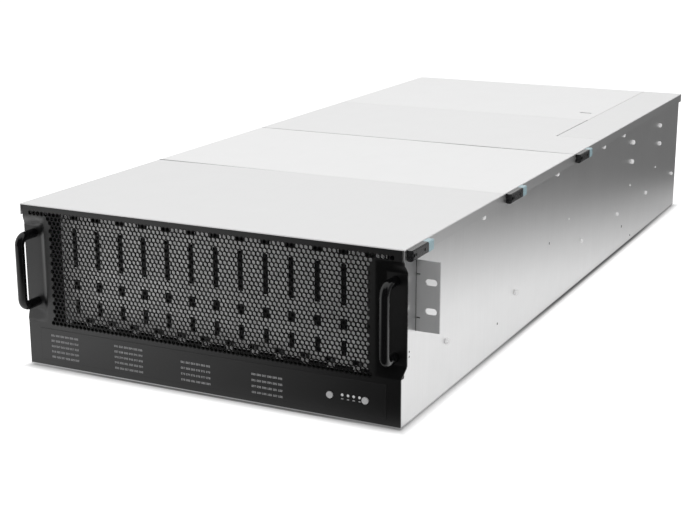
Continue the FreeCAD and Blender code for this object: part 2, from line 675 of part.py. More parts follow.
def lever(length, thickness, height, lug):
    """Lever along +Y with a bevelled, forked nose and a moulded pivot pin on the Z axis."""
    half = thickness / 2
    flat = half * math.tan(math.radians(22.5))
    outline = [(half, length - half), (-half, length - half), (-half, -flat), (-flat, -half), (flat, -half),
               (half, -flat)]
    bar = extruded([(x, y, -height / 2) for x, y in outline], V(0, 0, height))
    bar = bevel_edges(bar, LATCH_BEVEL, lambda e, m: runs_along(e, Y_AXIS) and near(m.x, half))
    gap = lug / 2 + FIT
    fork = block(-half - 1, half + 1, -half - 1, LUG_ROUND + FIT, -gap, gap)
    pin = rod(PIVOT_PIN, (0, 0, -gap), Z_AXIS, 2 * gap)
    return join([bar.cut(fork), pin])


def lug(reach):
    """Pivot lug on the Z axis: it comes from -X and has a hole for the lever's pin."""
    half = LUG_THICKNESS / 2
    neck = block(-reach, 0, -LUG_ROUND, LUG_ROUND, -half, half)
    eye = rod(LUG_ROUND, (0, 0, -half), Z_AXIS, LUG_THICKNESS)
    hole = rod(PIVOT_PIN + PIVOT_FIT, (0, 0, -half - 1), Z_AXIS, LUG_THICKNESS + 2)
    return join([neck, eye]).cut(hole)


def latch_place(lid):
    """Pivot of a lid's latch, at its front right corner."""
    return V(LATCH_X, LID_SPANS[lid][0] + LATCH_SETBACK + LATCH_THICKNESS / 2, LATCH_Z)


def latch_lever(lid):
    bar = lever(LATCH_LENGTH, LATCH_THICKNESS, LATCH_HEIGHT, LUG_THICKNESS)
    bar.translate(latch_place(lid))
    return bar


def latch_tab(lid):
    """Finger tab on the free end of a latch lever."""
    half = LATCH_THICKNESS / 2
    start = LATCH_LENGTH - half
    tab = block(-half, half, start, start + LATCH_TAB, -LATCH_HEIGHT / 2, LATCH_HEIGHT / 2)
    tab = bevel_edges(tab, LATCH_BEVEL, lambda e, m: near(m.x, half) and not near(m.y, start))
    tab.translate(latch_place(lid))
    return tab


def cover(y0, y1, left, right, left_skirt, right_skirt):
    """Sheet cover with rounded outer edges and a skirt down one or both sides."""
    outer = block(left, right, y0, y1, SKIRT_LOW, BODY_HEIGHT)
    room_left = left + (SHEET if left_skirt else -1)
    room_right = right - (SHEET if right_skirt else -1)
    room = block(room_left, room_right, y0 - 1, y1 + 1, SKIRT_LOW - 1, LID_UNDER)
    sheet = outer.cut(room)
    skirted = [side for side, has in ((left, left_skirt), (right, right_skirt)) if has]
    return round_edges(sheet, LID_BEND, lambda e, m: runs_along(e, Y_AXIS) and near(m.z, BODY_HEIGHT)
                       and any(near(m.x, side) for side in skirted))


def full_lid(name):
    """Lid across the whole width, with the pivot lug of its latch."""
    start, end = LID_SPANS[name]
    return with_lug(name, cover(start, end, -LID_HALF, LID_HALF, True, True))


def with_lug(name, sheet):
    ear = lug(LATCH_X - LID_HALF + SHEET / 2)
    ear.translate(latch_place(name))
    return join([sheet, ear])


def rear_lid():
    """Lid with its right rear corner left free for the cover of the power bay."""
    start, end = LID_SPANS["rear_lid"]
    wide = cover(start, BAY_COVER_FRONT - TIGHT_SEAM, -LID_HALF, LID_HALF, True, True)
    narrow = cover(BAY_COVER_FRONT - 1, end, -LID_HALF, BAY_COVER_EDGE - BAY_COVER_GAP, True, False)
    return with_lug("rear_lid", join([wide, narrow]))


def tail_lid():
    """Lid over the last rows and the fans, with a finger slot."""
    start, end = LID_SPANS["tail_lid"]
    sheet = cover(start, end, -LID_HALF, BAY_COVER_EDGE - BAY_COVER_GAP / 2, True, False)
    slot = block(FINGER_SLOT_X - FINGER_SLOT_LENGTH / 2, FINGER_SLOT_X + FINGER_SLOT_LENGTH / 2,
                 FINGER_SLOT_Y - FINGER_SLOT_WIDTH / 2, FINGER_SLOT_Y + FINGER_SLOT_WIDTH / 2,
                 LID_UNDER - 1, BODY_HEIGHT + 1)
    return sheet.cut(slot)


def power_bay_cover():
    """Narrow fixed cover over the power supplies."""
    sheet = cover(BAY_COVER_FRONT, BODY_DEPTH, BAY_COVER_EDGE, LID_HALF, False, True)
    seat = block(HALF - WALL_FLANGE, HALF, BAY_COVER_FRONT, BODY_DEPTH, WALL_TOP, LID_UNDER)
    return join([sheet, seat])


def module_places():
    spacing = (MODULE_WIDTH + MODULE_GAP) / 2
    return {"left": BAY_CENTRE - spacing, "right": BAY_CENTRE + spacing}


def module_pivot(x):
    """Pivot of a module's ejector lever, which lies along +X on its face."""
    start = x - MODULE_WIDTH / 2 + LEVER_THICKNESS
    return V(start, FACE_Y + FIT + LEVER_THICKNESS / 2, MODULE_LOW + LEVER_Z)


def io_module(x):
    """Slide-in module: closed tray, two port openings and a pivot lug for its lever."""
    half = MODULE_WIDTH / 2
    tray = block(x - half, x + half, BODY_DEPTH - MODULE_DEPTH, FACE_Y,
                 MODULE_LOW, MODULE_LOW + MODULE_HEIGHT)
    cuts = []
    for side in (-0.5, 0.5):
        port_x = x + side * PORT_PITCH
        z = MODULE_LOW + PORT_Z
        cuts.append(block(port_x - PORT_WIDTH / 2, port_x + PORT_WIDTH / 2, FACE_Y - PORT_DEPTH, FACE_Y + 1,
                          z - PORT_HEIGHT / 2, z + PORT_HEIGHT / 2))
    ear = lug(LEVER_THICKNESS / 2 + FIT + SHEET)
    ear.rotate(V(0, 0, 0), Z_AXIS, 90)
    ear.translate(module_pivot(x))
    return join([tray.cut(cuts), ear])


def io_lever(x):
    bar = lever(LEVER_LENGTH, LEVER_THICKNESS, LEVER_HEIGHT, LUG_THICKNESS)
    bar.rotate(V(0, 0, 0), Z_AXIS, 90)
    bar = mirrored(bar)
    bar.translate(module_pivot(x))
    return bar


def supply_lows():
    return {"lower": SUPPLY_LOW, "upper": SUPPLY_LOW + SUPPLY_PITCH}


def supply_body(low):
    """Closed power supply with an inlet, its pins and a vent in the rear face."""
    half = SUPPLY_WIDTH / 2
    case = block(SUPPLY_X - half, SUPPLY_X + half, BODY_DEPTH - SUPPLY_DEPTH, FACE_Y,
                 low, low + SUPPLY_HEIGHT)
    z = low + INLET_Z
    inlet = block(SUPPLY_X - INLET_WIDTH / 2, SUPPLY_X + INLET_WIDTH / 2, FACE_Y - INLET_DEPTH, FACE_Y + 1,
                  z - INLET_HEIGHT / 2, z + INLET_HEIGHT / 2)
    vent_z = low + SUPPLY_HEIGHT - SUPPLY_VENT_RADIUS - FAN_BASE
    case = case.cut([inlet] + slot_group(SUPPLY_X, vent_z, SUPPLY_VENT_RADIUS, FACE_Y, SUPPLY_VENT_DEPTH))
    pins = []
    for dx, dz in INLET_PINS:
        pins.append(block(SUPPLY_X + dx - INLET_PIN_WIDTH / 2, SUPPLY_X + dx + INLET_PIN_WIDTH / 2,
                          FACE_Y - INLET_DEPTH, FACE_Y - INLET_PIN_SETBACK,
                          z + dz - INLET_PIN_HEIGHT / 2, z + dz + INLET_PIN_HEIGHT / 2))
    return join([case] + pins)


def supply_handle(low):
    """Fixed upright grip on the rear face of a power supply."""
    x = SUPPLY_HANDLE_X
    middle = low + SUPPLY_HEIGHT / 2
    half = SUPPLY_HANDLE_BAR / 2
    span = SUPPLY_HANDLE_SPAN / 2
    reach = FACE_Y + SUPPLY_HANDLE_REACH
    plate = block(x - half, x + half, FACE_Y, reach, middle - span - half, middle + span + half)
    plate = bevel_edges(plate, SUPPLY_HANDLE_BEVEL, lambda e, m: runs_along(e, X_AXIS) and near(m.y, reach))
    hollow = block(x - half - 1, x + half + 1, FACE_Y - 1, reach - SUPPLY_HANDLE_BAR,
                   middle - span + half, middle + span - half)
    return plate.cut(hollow)


def supply_latch(low):
    """Release tab that is pushed towards the grip."""
    x = SUPPLY_LATCH_X
    z = low + SUPPLY_HEIGHT / 2
    tab = block(x - SUPPLY_LATCH_WIDTH / 2, x + SUPPLY_LATCH_WIDTH / 2, FACE_Y + FIT,
                FACE_Y + SUPPLY_LATCH_REACH, z - SUPPLY_LATCH_HEIGHT / 2, z + SUPPLY_LATCH_HEIGHT / 2)
    return bevel_edges(tab, LATCH_BEVEL, lambda e, m: near(m.y, FACE_Y + SUPPLY_LATCH_REACH))


def build():
    os.makedirs("parts", exist_ok=True)
    side = right_side_panel()
    ear = right_rack_ear()
    handle = front_handle()
    nodes = {
        "base_pan": base_pan(),
        "right_side_panel": side,
        "left_side_panel": mirrored(side),
        "front_panel": front_panel(),
        "front_grille": front_grille(),
        "front_handles": Part.makeCompound([handle, mirrored(handle)]),
        "right_rack_ear": ear,
        "left_rack_ear": mirrored(ear),
        "indicator_film": indicator_film(),
        "power_button": push_button(POWER_BUTTON_X),
        "identify_button": push_button(IDENTIFY_BUTTON_X),
        "control_board": control_board(),
        "drive_wall": drive_wall(),
        "cage_walls": cage_walls(),
        "column_dividers": column_dividers(),
        "front_backplane": backplane(0, FRONT_ROWS),
        "rear_backplane": backplane(FRONT_ROWS, REAR_ROWS),
        "backplane_rails": backplane_rails(),
        "drive_sockets": drive_sockets(),
        "front_drives": drives(0, FRONT_ROWS),
        "rear_drives": drives(FRONT_ROWS, REAR_ROWS),
        "fan_frames": Part.makeCompound([fan_frame(x) for x in fan_centres()]),
        "rear_shelves": rear_shelves(),
        "rear_panel": rear_panel(),
        "power_bay_cover": power_bay_cover(),
        "front_lid": full_lid("front_lid"),
        "middle_lid": full_lid("middle_lid"),
        "rear_lid": rear_lid(),
        "tail_lid": tail_lid(),
    }
    for number, x in enumerate(fan_centres(), 1):
        nodes["fan_rotor_%d" % number] = fan_rotor(x)
    for lid in LATCHED_LIDS:
        place = lid.split("_")[0]
        nodes[place + "_latch"] = latch_lever(lid)
        nodes[place + "_latch_tab"] = latch_tab(lid)
    for place, x in module_places().items():
        nodes[place + "_io_module"] = io_module(x)
        nodes[place + "_io_lever"] = io_lever(x)
    for place, low in supply_lows().items():
        nodes[place + "_supply"] = supply_body(low)
        nodes[place + "_supply_handle"] = supply_handle(low)
        nodes[place + "_supply_latch"] = supply_latch(low)
    for name, shape in nodes.items():
        save(name, shape)


build()
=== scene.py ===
import json
import math

import bmesh
import bpy
from mathutils import Matrix, Vector
from mathutils.geometry import delaunay_2d_cdt


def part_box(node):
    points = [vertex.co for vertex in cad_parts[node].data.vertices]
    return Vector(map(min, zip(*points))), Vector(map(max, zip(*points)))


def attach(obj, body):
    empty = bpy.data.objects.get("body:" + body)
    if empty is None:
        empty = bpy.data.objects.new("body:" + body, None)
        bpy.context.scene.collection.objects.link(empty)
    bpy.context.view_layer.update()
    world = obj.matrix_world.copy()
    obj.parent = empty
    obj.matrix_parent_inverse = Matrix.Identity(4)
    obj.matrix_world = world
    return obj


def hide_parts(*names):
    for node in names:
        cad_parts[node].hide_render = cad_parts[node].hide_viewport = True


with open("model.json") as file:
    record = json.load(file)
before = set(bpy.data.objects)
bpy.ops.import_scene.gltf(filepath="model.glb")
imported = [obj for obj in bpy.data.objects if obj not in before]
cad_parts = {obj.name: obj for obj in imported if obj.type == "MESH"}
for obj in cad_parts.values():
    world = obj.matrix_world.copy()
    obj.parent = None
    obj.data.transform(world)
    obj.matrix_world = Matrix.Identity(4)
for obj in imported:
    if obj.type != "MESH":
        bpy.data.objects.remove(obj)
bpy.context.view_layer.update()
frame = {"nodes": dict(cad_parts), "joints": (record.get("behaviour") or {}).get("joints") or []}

NODES = frame["nodes"]
MM = 0.001
DEPTH = 1060.0
LEFT, RIGHT = Vector((-1, 0, 0)), Vector((1, 0, 0))
FRONT, BACK = Vector((0, -1, 0)), Vector((0, 1, 0))
UP = Vector((0, 0, 1))


def spot(x, y, z):
    """A point given in millimetres, with y counted from the face of the front panel."""
    return Vector((x * MM, (y - DEPTH / 2) * MM, z * MM))


def span(node):
    """Corners of a node's box in millimetres, with y counted from the face of the front panel."""
    low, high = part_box(node)
    shift = Vector((0, DEPTH / 2, 0))
    return low / MM + shift, high / MM + shift


# Helpers for materials

BLEND_START, BLEND_END = 0.3, 0.7


def grey(tone):
    return (tone, tone, tone)


def shades(colour, vary):
    """A darker and a lighter shade of a colour."""
    return tuple(c * (1 - vary) for c in colour), tuple(min(1.0, c * (1 + vary)) for c in colour)


def node_tree(name):
    material = bpy.data.materials.new(name)
    material.use_nodes = True
    tree = material.node_tree
    return material, tree, tree.nodes["Principled BSDF"]


def add(tree, kind, **inputs):
    node = tree.nodes.new(kind)
    for key, value in inputs.items():
        node.inputs[key].default_value = value
    return node


def noise(tree, scale, stretch=(1, 1, 1), detail=3.0, rough=0.55):
    """Noise in the row frame, in waves a metre, drawn out along an axis by a small stretch."""
    place = tree.nodes.new("ShaderNodeTexCoord")
    mapping = add(tree, "ShaderNodeMapping", Scale=stretch)
    tree.links.new(place.outputs["Object"], mapping.inputs["Vector"])
    field = add(tree, "ShaderNodeTexNoise", Scale=scale, Detail=detail, Roughness=rough)
    tree.links.new(mapping.outputs["Vector"], field.inputs["Vector"])
    return field.outputs["Fac"]


def spread(tree, value, low, high, start=BLEND_START, end=BLEND_END):
    """Turn start..end of a value into low..high, held level outside."""
    node = add(tree, "ShaderNodeMapRange")
    for i, number in enumerate((start, end, low, high), 1):
        node.inputs[i].default_value = number
    tree.links.new(value, node.inputs[0])
    return node.outputs[0]


def rise(tree, value, start, end):
    """From 0 at a start to 1 at an end."""
    return spread(tree, value, 0.0, 1.0, start, end)


def fall(tree, value, start, end):
    """From 1 at a start to 0 at an end."""
    return spread(tree, value, 1.0, 0.0, start, end)


def combine(tree, operation, *values):
    """An arithmetic node on sockets and plain numbers."""
    node = tree.nodes.new("ShaderNodeMath")
    node.operation = operation
    for socket, value in zip(node.inputs, values):
        if isinstance(value, (int, float)):
            socket.default_value = value
        else:
            tree.links.new(value, socket)
    return node.outputs[0]


def coordinate(tree, axis, kind="Object"):
    """One coordinate of the row frame in metres, or of a direction in the world."""
    place = tree.nodes.new("ShaderNodeTexCoord")
    parts = tree.nodes.new("ShaderNodeSeparateXYZ")
    tree.links.new(place.outputs[kind], parts.inputs[0])
    return parts.outputs[axis]


def blend_colours(tree, value, first, second):
    """A first colour at low values that runs into a second one at high values."""
    ramp = tree.nodes.new("ShaderNodeValToRGB")
    start, end = ramp.color_ramp.elements
    start.position, end.position = BLEND_START, BLEND_END
    start.color, end.color = (*first, 1), (*second, 1)
    tree.links.new(value, ramp.inputs[0])
    return ramp.outputs["Color"]


def masked(tree, mask, first, second):
    """One colour where a mask is 0, another where it is 1."""
    mix = tree.nodes.new("ShaderNodeMixRGB")
    tree.links.new(mask, mix.inputs["Fac"])
    tree.links.new(first, mix.inputs["Color1"])
    mix.inputs["Color2"].default_value = (*second, 1)
    return mix.outputs["Color"]


# Sheet steel

BARE_METAL, LID_METAL = 0.9, 0.3
UPRIGHT_GRAIN, LENGTHWISE_GRAIN = (1.0, 1.0, 0.02), (1.0, 0.02, 1.0)
CLOUD_SCALE, LINE_SCALE, LINE_SHARE = 26, 500, 0.4
SIDE_TONE = (0.715, 0.715, 0.716)
BLACK_TONE = (0.012, 0.012, 0.013)
LID_TONES = {"front_lid": 0.845, "middle_lid": 0.925, "rear_lid": 0.89, "tail_lid": 0.925,
             "power_bay_cover": 0.865}
LID_EDGE, SKIRT_TOP, EDGE_BLUR = 220.5, 174.9, 0.1
# Painted shade: a tapering dark band along the rear seam of two lids
SEAM_SHADE_TONE, SEAM_BLUR, SEAM_TAPER = grey(0.05), 0.2, 1.5
SEAM_SHADES = {
    "front_lid": {"peak": -224, "reach": 204, "width": 3.2},
    "middle_lid": {"peak": 95, "reach": 110, "width": 1.6},
}
# Painted light and shade on the slotted wall: less metal along its slanted left end for its shade and along
# its foot for its brighter light
WALL_SLANT, WALL_SHINE = 0.057, 0.66
WALL_SHADED_END, WALL_SHADED_END_SHINE = (-164, -124), 0.1
WALL_LIT_FOOT, WALL_LIT_FOOT_SHINE = (50, 90), 0.2


def steel(name, colour, vary, rough, metallic=BARE_METAL, grain=UPRIGHT_GRAIN, uneven=0.04):
    """Galvanised sheet: soft cloudy tone, fine rolling lines and uneven gloss."""
    material, tree, shader = node_tree(name)
    cloud = noise(tree, CLOUD_SCALE, detail=4)
    lines = noise(tree, LINE_SCALE, grain, detail=2)
    clouds = spread(tree, cloud, 0.0, 1 - LINE_SHARE, 0.0, 1.0)
    both = combine(tree, "MULTIPLY_ADD", lines, LINE_SHARE, clouds)
    tree.links.new(blend_colours(tree, both, *shades(colour, vary)), shader.inputs["Base Color"])
    tree.links.new(spread(tree, cloud, rough - uneven, rough + uneven), shader.inputs["Roughness"])
    shader.inputs["Metallic"].default_value = metallic
    return material


def seam_shade(tree, edge, peak, reach, width):
    """A mask of painted shade along a lid's rear edge, widest at its peak and tapering away on both sides of
    it.
    """
    offset = combine(tree, "ABSOLUTE", combine(tree, "SUBTRACT", coordinate(tree, "X"), peak * MM))
    taper = combine(tree, "POWER", fall(tree, offset, 0.0, reach * MM), SEAM_TAPER)
    behind = combine(tree, "SUBTRACT", coordinate(tree, "Y"), edge)
    return rise(tree, combine(tree, "MULTIPLY_ADD", taper, width * MM, behind), 0.0, SEAM_BLUR * MM)


def lid_steel(lid, tone):
    """A lid's sheet with a black lug, and painted shade: the side panels' tone on its skirt and, on two lids,
    a dark band along the rear seam.
    """
    material = steel("sheet_" + lid, grey(tone), vary=0.012, rough=0.42, metallic=LID_METAL,
                     grain=LENGTHWISE_GRAIN, uneven=0.015)
    tree = material.node_tree
    shader = tree.nodes["Principled BSDF"]
    colour = shader.inputs["Base Color"].links[0].from_socket
    if lid in SEAM_SHADES:
        edge = spot(*span(lid)[1]).y
        colour = masked(tree, seam_shade(tree, edge, **SEAM_SHADES[lid]), colour, SEAM_SHADE_TONE)
    # Painted shade: the sideways skirt of the same sheet takes the side panels' darker tone and more metal
    # than the top
    skirt = fall(tree, coordinate(tree, "Z"), SKIRT_TOP * MM, (SKIRT_TOP + EDGE_BLUR) * MM)
    lug = rise(tree, coordinate(tree, "X"), (LID_EDGE + EDGE_BLUR) * MM, (LID_EDGE + 2 * EDGE_BLUR) * MM)
    colour = masked(tree, lug, masked(tree, skirt, colour, SIDE_TONE), BLACK_TONE)
    metal = spread(tree, skirt, LID_METAL, BARE_METAL, 0.0, 1.0)
    metal = combine(tree, "MULTIPLY", metal, combine(tree, "SUBTRACT", 1.0, lug))
    tree.links.new(colour, shader.inputs["Base Color"])
    tree.links.new(metal, shader.inputs["Metallic"])
    return material


def wall_steel():
    """The slotted wall: near-white as painted light seen through the holes, less metal at a slanted left end
    as painted shade and at its foot as painted light.
    """
    material = steel("galvanised_wall", grey(0.99), vary=0.02, rough=0.4)
    tree = material.node_tree
    height = coordinate(tree, "Z")
    slanted = combine(tree, "MULTIPLY_ADD", height, WALL_SLANT, coordinate(tree, "X"))
    shaded_end_shine = spread(tree, slanted, WALL_SHADED_END_SHINE, 1.0, *(place * MM for place in WALL_SHADED_END))
    lit_foot_shine = spread(tree, height, WALL_LIT_FOOT_SHINE, 1.0, *(place * MM for place in WALL_LIT_FOOT))
    shine = combine(tree, "MULTIPLY", shaded_end_shine, lit_foot_shine)
    shader = tree.nodes["Principled BSDF"]
    tree.links.new(combine(tree, "MULTIPLY", shine, WALL_SHINE), shader.inputs["Metallic"])
    return material


LID_STEEL = {lid: lid_steel(lid, tone) for lid, tone in LID_TONES.items()}
SIDE_STEEL = steel("galvanised_side", SIDE_TONE, vary=0.035, rough=0.30, uneven=0.01)
# Painted shade: the base pan is darker than the side panels, standing in for the shade along its edge under
# the front panel
SHADED_PAN_STEEL = steel("galvanised_pan_painted_shade", (0.43, 0.43, 0.432), vary=0.01, rough=0.30, uneven=0.01)
EAR_STEEL = steel("galvanised_ear", (0.515, 0.518, 0.521), vary=0.02, rough=0.42, metallic=0.42)
WALL_STEEL = wall_steel()
INNER_STEEL = steel("galvanised_inner", (0.74, 0.745, 0.75), vary=0.04, rough=0.45, metallic=0.7)
REAR_STEEL = steel("galvanised_rear", (0.66, 0.665, 0.67), vary=0.03, rough=0.4)
CASE_STEEL = steel("module_case", (0.62, 0.625, 0.63), vary=0.03, rough=0.38)
# Near-white matt steel, a painted highlight for the bright round heads of the studs and pins; the port shells
# and rear screws use it too
HIGHLIGHT_STEEL = steel("steel_painted_highlight", grey(0.98), vary=0.02, rough=0.45, metallic=0.0)
DRIVE_METAL = steel("drive_casting", (0.50, 0.505, 0.51), vary=0.05, rough=0.5, metallic=0.8)


# Powder coat, plastic, film and lenses

COAT_TONE = (0.003, 0.003, 0.0032)
COAT_CLOUD, COAT_UNEVEN, PEBBLE_HEIGHT = 40, 0.06, 0.1
LENS_CLOUD, LENS_SHADE, LENS_ROUGH = 900, 0.85, 0.25


def coated(name, colour, rough, vary=0.12, pebble=1600, depth=0.25, specular=0.5):
    """Powder coat or moulded plastic: fine pebbled skin with slight changes of tone."""
    material, tree, shader = node_tree(name)
    tone = blend_colours(tree, noise(tree, COAT_CLOUD, detail=3), *shades(colour, vary))
    skin = noise(tree, pebble, detail=2)
    gloss = spread(tree, skin, rough - COAT_UNEVEN, rough + COAT_UNEVEN)
    bump = add(tree, "ShaderNodeBump", Strength=depth, Distance=PEBBLE_HEIGHT * MM)
    tree.links.new(skin, bump.inputs["Height"])
    tree.links.new(tone, shader.inputs["Base Color"])
    tree.links.new(gloss, shader.inputs["Roughness"])
    tree.links.new(bump.outputs["Normal"], shader.inputs["Normal"])
    shader.inputs["Specular IOR Level"].default_value = specular
    return material


def glowing(name, colour, strength):
    """A slightly cloudy lens with a faint light of its own."""
    material, tree, shader = node_tree(name)
    dark = tuple(c * LENS_SHADE for c in colour)
    tone = blend_colours(tree, noise(tree, LENS_CLOUD, detail=1), dark, colour)
    for socket in ("Base Color", "Emission Color"):
        tree.links.new(tone, shader.inputs[socket])
    shader.inputs["Emission Strength"].default_value = strength
    shader.inputs["Roughness"].default_value = LENS_ROUGH
    return material


BLACK_COAT = coated("black_powder_coat", COAT_TONE, rough=0.38, specular=0.72)
GRILLE_COAT = coated("black_powder_coat_holes", COAT_TONE, rough=0.38, specular=0.28)
HANDLE_BLACK = coated("satin_black", (0.004, 0.004, 0.0043), rough=0.13, pebble=900, depth=0.05)
PLASTIC_BLACK = coated("black_plastic", BLACK_TONE, rough=0.5, depth=0.15)
LATCH_BLACK = coated("latch_plastic", BLACK_TONE, rough=0.27, depth=0.08, specular=0.6)
CARRIER_GREY = coated("carrier_grey", (0.055, 0.056, 0.058), rough=0.5, depth=0.15)
TAB_BLUE = coated("pale_blue_plastic", (0.36, 0.52, 0.57), rough=0.3, vary=0.05, depth=0.1, specular=0.7)
FILM_GREY = coated("printed_film", (0.0078, 0.0078, 0.008), rough=0.36, vary=0.06, pebble=2600, depth=0.1,
                   specular=0.66)
FILM_EDGE = coated("film_edge", (0.014, 0.014, 0.0145), rough=0.36, vary=0.06)
PRINT_GREY = coated("film_print", (0.34, 0.34, 0.345), rough=0.5, vary=0.05)
BUTTON_GREY = coated("button_grey", (0.45, 0.45, 0.455), rough=0.45, vary=0.04, depth=0.08)
BOARD_BLACK = coated("black_circuit_board", (0.008, 0.009, 0.008), rough=0.5, vary=0.2, pebble=500)
BOARD_GREEN = coated("circuit_board", (0.02, 0.09, 0.045), rough=0.4, vary=0.2, pebble=500)
# Near-black standing in for shade: painted shade in the small side holes, the ear slits and their notches;
# the latch pins use it too
SHADE_BLACK = coated("painted_shade_black", grey(0.006), rough=0.7)
# Painted light: a lens that is not lit still glows faintly
GLOWING_LENS_GREY = glowing("unlit_lens_painted_glow", (0.62, 0.62, 0.625), strength=0.1)
LENS_GREEN = glowing("status_lens", (0.10, 0.55, 0.22), strength=0.15)


# Materials of the nodes

def paint(material, *names):
    for name in names:
        slots = NODES[name].data.materials
        slots.clear()
        slots.append(material)


for lid, sheet in LID_STEEL.items():
    paint(sheet, lid)
paint(SIDE_STEEL, "right_side_panel", "left_side_panel")
paint(SHADED_PAN_STEEL, "base_pan")
paint(EAR_STEEL, "right_rack_ear", "left_rack_ear")
paint(WALL_STEEL, "drive_wall")
paint(INNER_STEEL, "cage_walls", "column_dividers", "backplane_rails", "rear_shelves")
paint(REAR_STEEL, "rear_panel")
paint(BLACK_COAT, "front_panel", "front_grille")
paint(HANDLE_BLACK, "front_handles")
paint(FILM_GREY, "indicator_film")
paint(BUTTON_GREY, "power_button", "identify_button")
paint(BOARD_BLACK, "control_board")
paint(BOARD_GREEN, "front_backplane", "rear_backplane")
paint(PLASTIC_BLACK, "drive_sockets", "fan_frames")
paint(DRIVE_METAL, "front_drives", "rear_drives")
for name in NODES:
    if name.endswith(("_tab", "supply_latch")):
        paint(TAB_BLUE, name)
    elif name.endswith("_latch"):
        paint(LATCH_BLACK, name)
    elif name.endswith(("_io_lever", "supply_handle")) or name.startswith("fan_rotor"):
        paint(PLASTIC_BLACK, name)
    elif name.endswith(("_io_module", "_supply")):
        paint(CASE_STEEL, name)


# Helpers for pieces

SHARP_ANGLE = math.radians(42)
SCREW_HEAD = ((1, 0), (1, 0.5), (0.75, 1), (0.5, 1), (0.4, 0.35), (0, 0.35))
STUD_HEAD = ((1, 0), (1, 0.4), (0.86, 0.75), (0.5, 0.95), (0, 1))
PIN_HEAD = ((1, 0), (1, 0.5), (0.7, 1), (0, 1))


def piece(name, bm, material, body, slot, *replaced, smooth=False):
    """Make an object of a mesh and let it ride on a body."""
    bmesh.ops.recalc_face_normals(bm, faces=bm.faces)
    mesh = bpy.data.meshes.new(name)
    bm.to_mesh(mesh)
    bm.free()
    if smooth:
        mesh.shade_smooth()
        mesh.set_sharp_from_angle(angle=SHARP_ANGLE)
    thing = bpy.data.objects.new(name, mesh)
    bpy.context.scene.collection.objects.link(thing)
    mesh.materials.append(material)
    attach(thing, body)
    if replaced:
        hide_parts(*replaced)
    return thing


def full_turn(sides):
    """The angles of a ring's corners."""
    return [2 * math.pi * k / sides for k in range(sides)]


def turned(bm, place, axis, profile, sides=20):
    """Turn pairs of radius and height, in millimetres, round an axis through a point."""
    side = axis.orthogonal().normalized()
    other = axis.cross(side)
    rings = []
    for radius, height in profile:
        centre = place + axis * height * MM
        if radius == 0:
            rings.append([bm.verts.new(centre)])
        else:
            rings.append([bm.verts.new(centre + (side * math.cos(t) + other * math.sin(t)) * radius * MM)
                          for t in full_turn(sides)])
    for a, b in zip(rings, rings[1:]):
        for k in range(sides):
            after = (k + 1) % sides
            if len(b) == 1:
                bm.faces.new((a[k], a[after], b[0]))
            else:
                bm.faces.new((a[k], a[after], b[after], b[k]))


def head(bm, place, axis, shares, radius, height, sides=20):
    """Turn a head whose profile is given in shares of its radius and height."""
    turned(bm, place, axis, [(radius * across, height * along) for across, along in shares], sides)


def plate(bm, centre, across, upward, width, height, thickness, bevel):
    """A flat block with bevelled top edges on a surface, sizes in millimetres."""
    out = across.cross(upward)
    rings = []
    for inset, level in ((0, 0), (0, thickness - bevel), (bevel, thickness)):
        ring = []
        for sx, sz in ((-1, -1), (1, -1), (1, 1), (-1, 1)):
            ring.append(bm.verts.new(centre + MM * (across * sx * (width / 2 - inset)
                                                    + upward * sz * (height / 2 - inset) + out * level)))
        rings.append(ring)
    for a, b in zip(rings, rings[1:]):
        for k in range(4):
            bm.faces.new((a[k], a[(k + 1) % 4], b[(k + 1) % 4], b[k]))
    bm.faces.new(rings[-1])


def surround(bm, x, y, z, across, width, height, border, thickness, bevel):
    """Four plates round an upright opening, given by its middle and its size."""
    for end in (-1, 1):
        plate(bm, spot(x, y, z + end * (height + border) / 2), across, UP,
              width + 2 * border, border, thickness, bevel)
    for end in (-1, 1):
        plate(bm, spot(x + end * (width + border) / 2, y, z), across, UP, border, height, thickness, bevel)


def stations(start, end, pitch):
    """Even places from a start up to an end."""
    while start < end:
        yield start
        start += pitch


# Front panel with its hexagonal holes and handle pockets

HALF = span("base_pan")[1].x
PANEL_LOW, PANEL_HIGH = span("front_panel")[0].z, span("front_panel")[1].z
POCKET_OUT = span("front_panel")[1].x
PANEL_SHEET = 1.5
POCKET_IN, POCKET_LOW, POCKET_HIGH, POCKET_DEPTH = 190.0, 49.0, 164.0, 5.7
POCKET_FLOOR_IN, POCKET_FLOOR_LOW, POCKET_FLOOR_HIGH = 200.0, 61.3, 151.8
POCKET_STEPS = 8
BUTTONS = [(span(name)[0] + span(name)[1]) / 2 for name in ("power_button", "identify_button")]
BUTTON_HOLE, BUTTON_SIDES = 3.8, 28
HOLE_PITCH, HOLE_FLATS = 5.0, 4.02
HOLE_ROWS, FIRST_ROW, ROW_STEP = 28, 49.3, 4.359
HOLE_REACH = 183.0
WIDE_ROWS = {0: 187.0, HOLE_ROWS - 2: 187.0, HOLE_ROWS - 1: 208.0}
CELL_CORNERS = ((1, 1), (0, 2), (-1, 1), (-1, -1), (0, -2), (1, -1))
CELL_SLACK = 0.01
HOLE_MATERIAL = 1
HULL_TRIANGLES, SAME_POINT = 0, 1e-5


def hole_cells():
    """Row and half-pitch number of each hole: the foot row and the two head rows are wider."""
    for row in range(HOLE_ROWS):
        limit = int(2 * WIDE_ROWS.get(row, HOLE_REACH) / HOLE_PITCH)
        for halves in range(-limit, limit + 1):
            if (halves + row) % 2 == 0:
                yield row, halves


